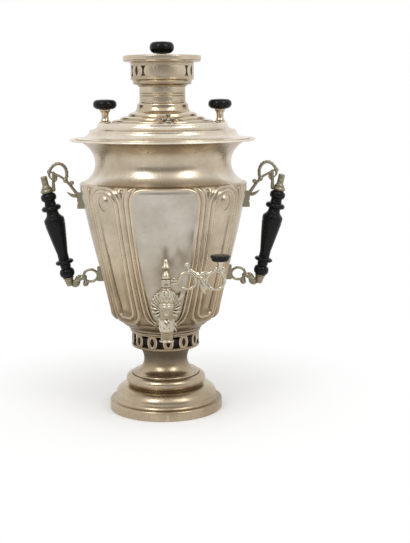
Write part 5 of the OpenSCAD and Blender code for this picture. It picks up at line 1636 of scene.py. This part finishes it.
def lay_floor(colour):
    """The plain pale floor, which keeps the samovar's shadow and is white far from it."""
    bpy.ops.mesh.primitive_circle_add(
        vertices=128, radius=0.9, fill_type="NGON", location=(0, 0.05, -0.0004))
    floor = bpy.context.object
    floor.name = "plain_floor"
    tree, shader = new_material("floor_paper")
    place = object_place(tree)
    cloud = ramped(tree, noise(tree, place, 3.0, 2.0), 0.3, 0.7, 0, 0.02)
    tree.links.new(mixed(tree, cloud, tuple(colour), (0.9, 0.9, 0.89)), shader.inputs["Base Color"])
    shader.inputs["Roughness"].default_value = 0.9
    shader.inputs["Specular IOR Level"].default_value = 0.2
    # Far from the samovar the floor is as white as the room, so that no edge shows
    away = node(tree, "ShaderNodeVectorMath", (place,), operation="LENGTH").outputs["Value"]
    ray = node(tree, "ShaderNodeLightPath").outputs
    seen = sums(tree, "MAXIMUM", ray["Is Glossy Ray"], ray["Is Transmission Ray"])
    seen = sums(tree, "MAXIMUM", ray["Is Camera Ray"], seen)
    start = sums(tree, "MULTIPLY_ADD", ray["Is Camera Ray"], -0.22, 0.29)
    end = sums(tree, "MULTIPLY_ADD", ray["Is Camera Ray"], -0.29, 0.65)
    white = times(tree, seen, smooth_fade(tree, away, start, end))
    glow = node(tree, "ShaderNodeEmission", {"Color": (1, 1, 1, 1), "Strength": 1.0})
    surface = node(tree, "ShaderNodeMixShader", (white, shader.outputs[0], glow.outputs[0]))
    tree.links.new(surface.outputs[0], tree.nodes["Material Output"].inputs["Surface"])
    floor.data.materials.append(finish("floor_paper"))


def light_room(ambient, power):
    """The white room, dimmer in reflections where its open front lies, and its two soft boxes."""
    world = bpy.data.worlds.new("pale_room")
    bpy.context.scene.world = world
    world.use_nodes = True
    tree = world.node_tree
    tree.nodes.clear()
    out = tree.nodes.new("ShaderNodeOutputWorld")
    ray = node(tree, "ShaderNodeLightPath").outputs
    direction = node(tree, "ShaderNodeTexCoord").outputs["Generated"]
    way = node(tree, "ShaderNodeSeparateXYZ", (direction,)).outputs
    front = node(tree, "ShaderNodeValToRGB", (ramped(tree, way[2], -1.0, 1.0),))
    levels = front.color_ramp.elements
    dim = 0.31
    for place, level in ((0.735, 1.0), (0.67, dim), (0.49, dim), (0.456, 1.0)):
        levels.new(place).color = (level, level, level, 1)
    levels[0].color = (1, 1, 1, 1)
    levels[-1].color = (1, 1, 1, 1)
    reflected = chosen(tree, smooth_fade(tree, way[1], -0.5, -0.82), 1.0, front.outputs[0])
    level = chosen(tree, ray["Is Glossy Ray"], ambient, reflected)
    seen = sums(tree, "MAXIMUM", ray["Is Camera Ray"], ray["Is Transmission Ray"])
    strength = chosen(tree, seen, level, 1.0)
    light = node(tree, "ShaderNodeBackground", {"Color": (1, 1, 1, 1), "Strength": strength})
    tree.links.new(light.outputs[0], out.inputs[0])
    for side, place in (("left", (-0.75, -1.0, 1.25)), ("right", (0.85, -0.95, 1.2))):
        soft_box("soft_box_" + side, place, (0, 0, 0.25), (0.5, 0.8), power)


def aim_camera(setup):
    """The camera, a little to one side of the samovar's front and above its middle."""
    lens = bpy.data.cameras.new("eye")
    lens.sensor_fit = "AUTO"
    lens.sensor_width = 36
    lens.lens = setup.lens
    eye = bpy.data.objects.new("eye", lens)
    aside = 0.0533
    round_samovar, tilt, roll = (math.radians(angle) for angle in (-3, 80.37, -0.35))
    turn = Matrix.Rotation(round_samovar, 4, "Z")
    place = Matrix.Translation((aside, -setup.distance, setup.eye_height))
    eye.matrix_world = turn @ place @ Matrix.Rotation(tilt, 4, "X") @ Matrix.Rotation(roll, 4, "Z")
    bpy.context.scene.collection.objects.link(eye)
    bpy.context.scene.camera = eye


class SAMOVAR_OT_stage(Operator):
    """Sets the floor, the light and the camera."""
    bl_idname = "samovar.stage"
    bl_label = "Stage"

    def execute(self, context):
        setup = context.scene.samovar_stage
        lay_floor(context.scene.samovar_colours.floor)
        light_room(setup.ambient, setup.key_power)
        aim_camera(setup)
        context.scene.view_settings.view_transform = "Standard"
        return {"FINISHED"}


STEPS = (SAMOVAR_OT_finishes, SAMOVAR_OT_foot, SAMOVAR_OT_air_ring, SAMOVAR_OT_body, SAMOVAR_OT_neck,
         SAMOVAR_OT_rosette, SAMOVAR_OT_tap, SAMOVAR_OT_key, SAMOVAR_OT_handles, SAMOVAR_OT_lid,
         SAMOVAR_OT_steam_vent, SAMOVAR_OT_crown, SAMOVAR_OT_damper, SAMOVAR_OT_inner_parts, SAMOVAR_OT_stage)


class SAMOVAR_PT_sidebar(Panel):
    """Lists the samovar's settings and its pieces."""
    bl_label = "Samovar"
    bl_idname = "SAMOVAR_PT_sidebar"
    bl_space_type = "VIEW_3D"
    bl_region_type = "UI"
    bl_category = "Samovar"

    def draw(self, context):
        for label, kind in SETTINGS.items():
            column = self.layout.box().column()
            column.label(text=label.removeprefix("samovar_").capitalize())
            for name in kind.__annotations__:
                column.prop(getattr(context.scene, label), name)
        column = self.layout.column(align=True)
        for step in STEPS:
            column.operator(step.bl_idname)


SETTINGS = {"samovar_colours": SamovarColours, "samovar_shape": SamovarShape, "samovar_stage": SamovarStage}


def register():
    """Registers the add-on's classes and its settings on the scene."""
    for kind in (*SETTINGS.values(), *STEPS, SAMOVAR_PT_sidebar):
        bpy.utils.register_class(kind)
    for name, kind in SETTINGS.items():
        setattr(bpy.types.Scene, name, PointerProperty(type=kind))


def unregister():
    """Takes them off again."""
    for name in SETTINGS:
        delattr(bpy.types.Scene, name)
    for kind in reversed((*SETTINGS.values(), *STEPS, SAMOVAR_PT_sidebar)):
        bpy.utils.unregister_class(kind)


def main():
    """Builds everything in order."""
    register()
    for step in STEPS:
        group, name = step.bl_idname.split(".")
        getattr(getattr(bpy.ops, group), name)()


if __name__ == "__main__":
    main()
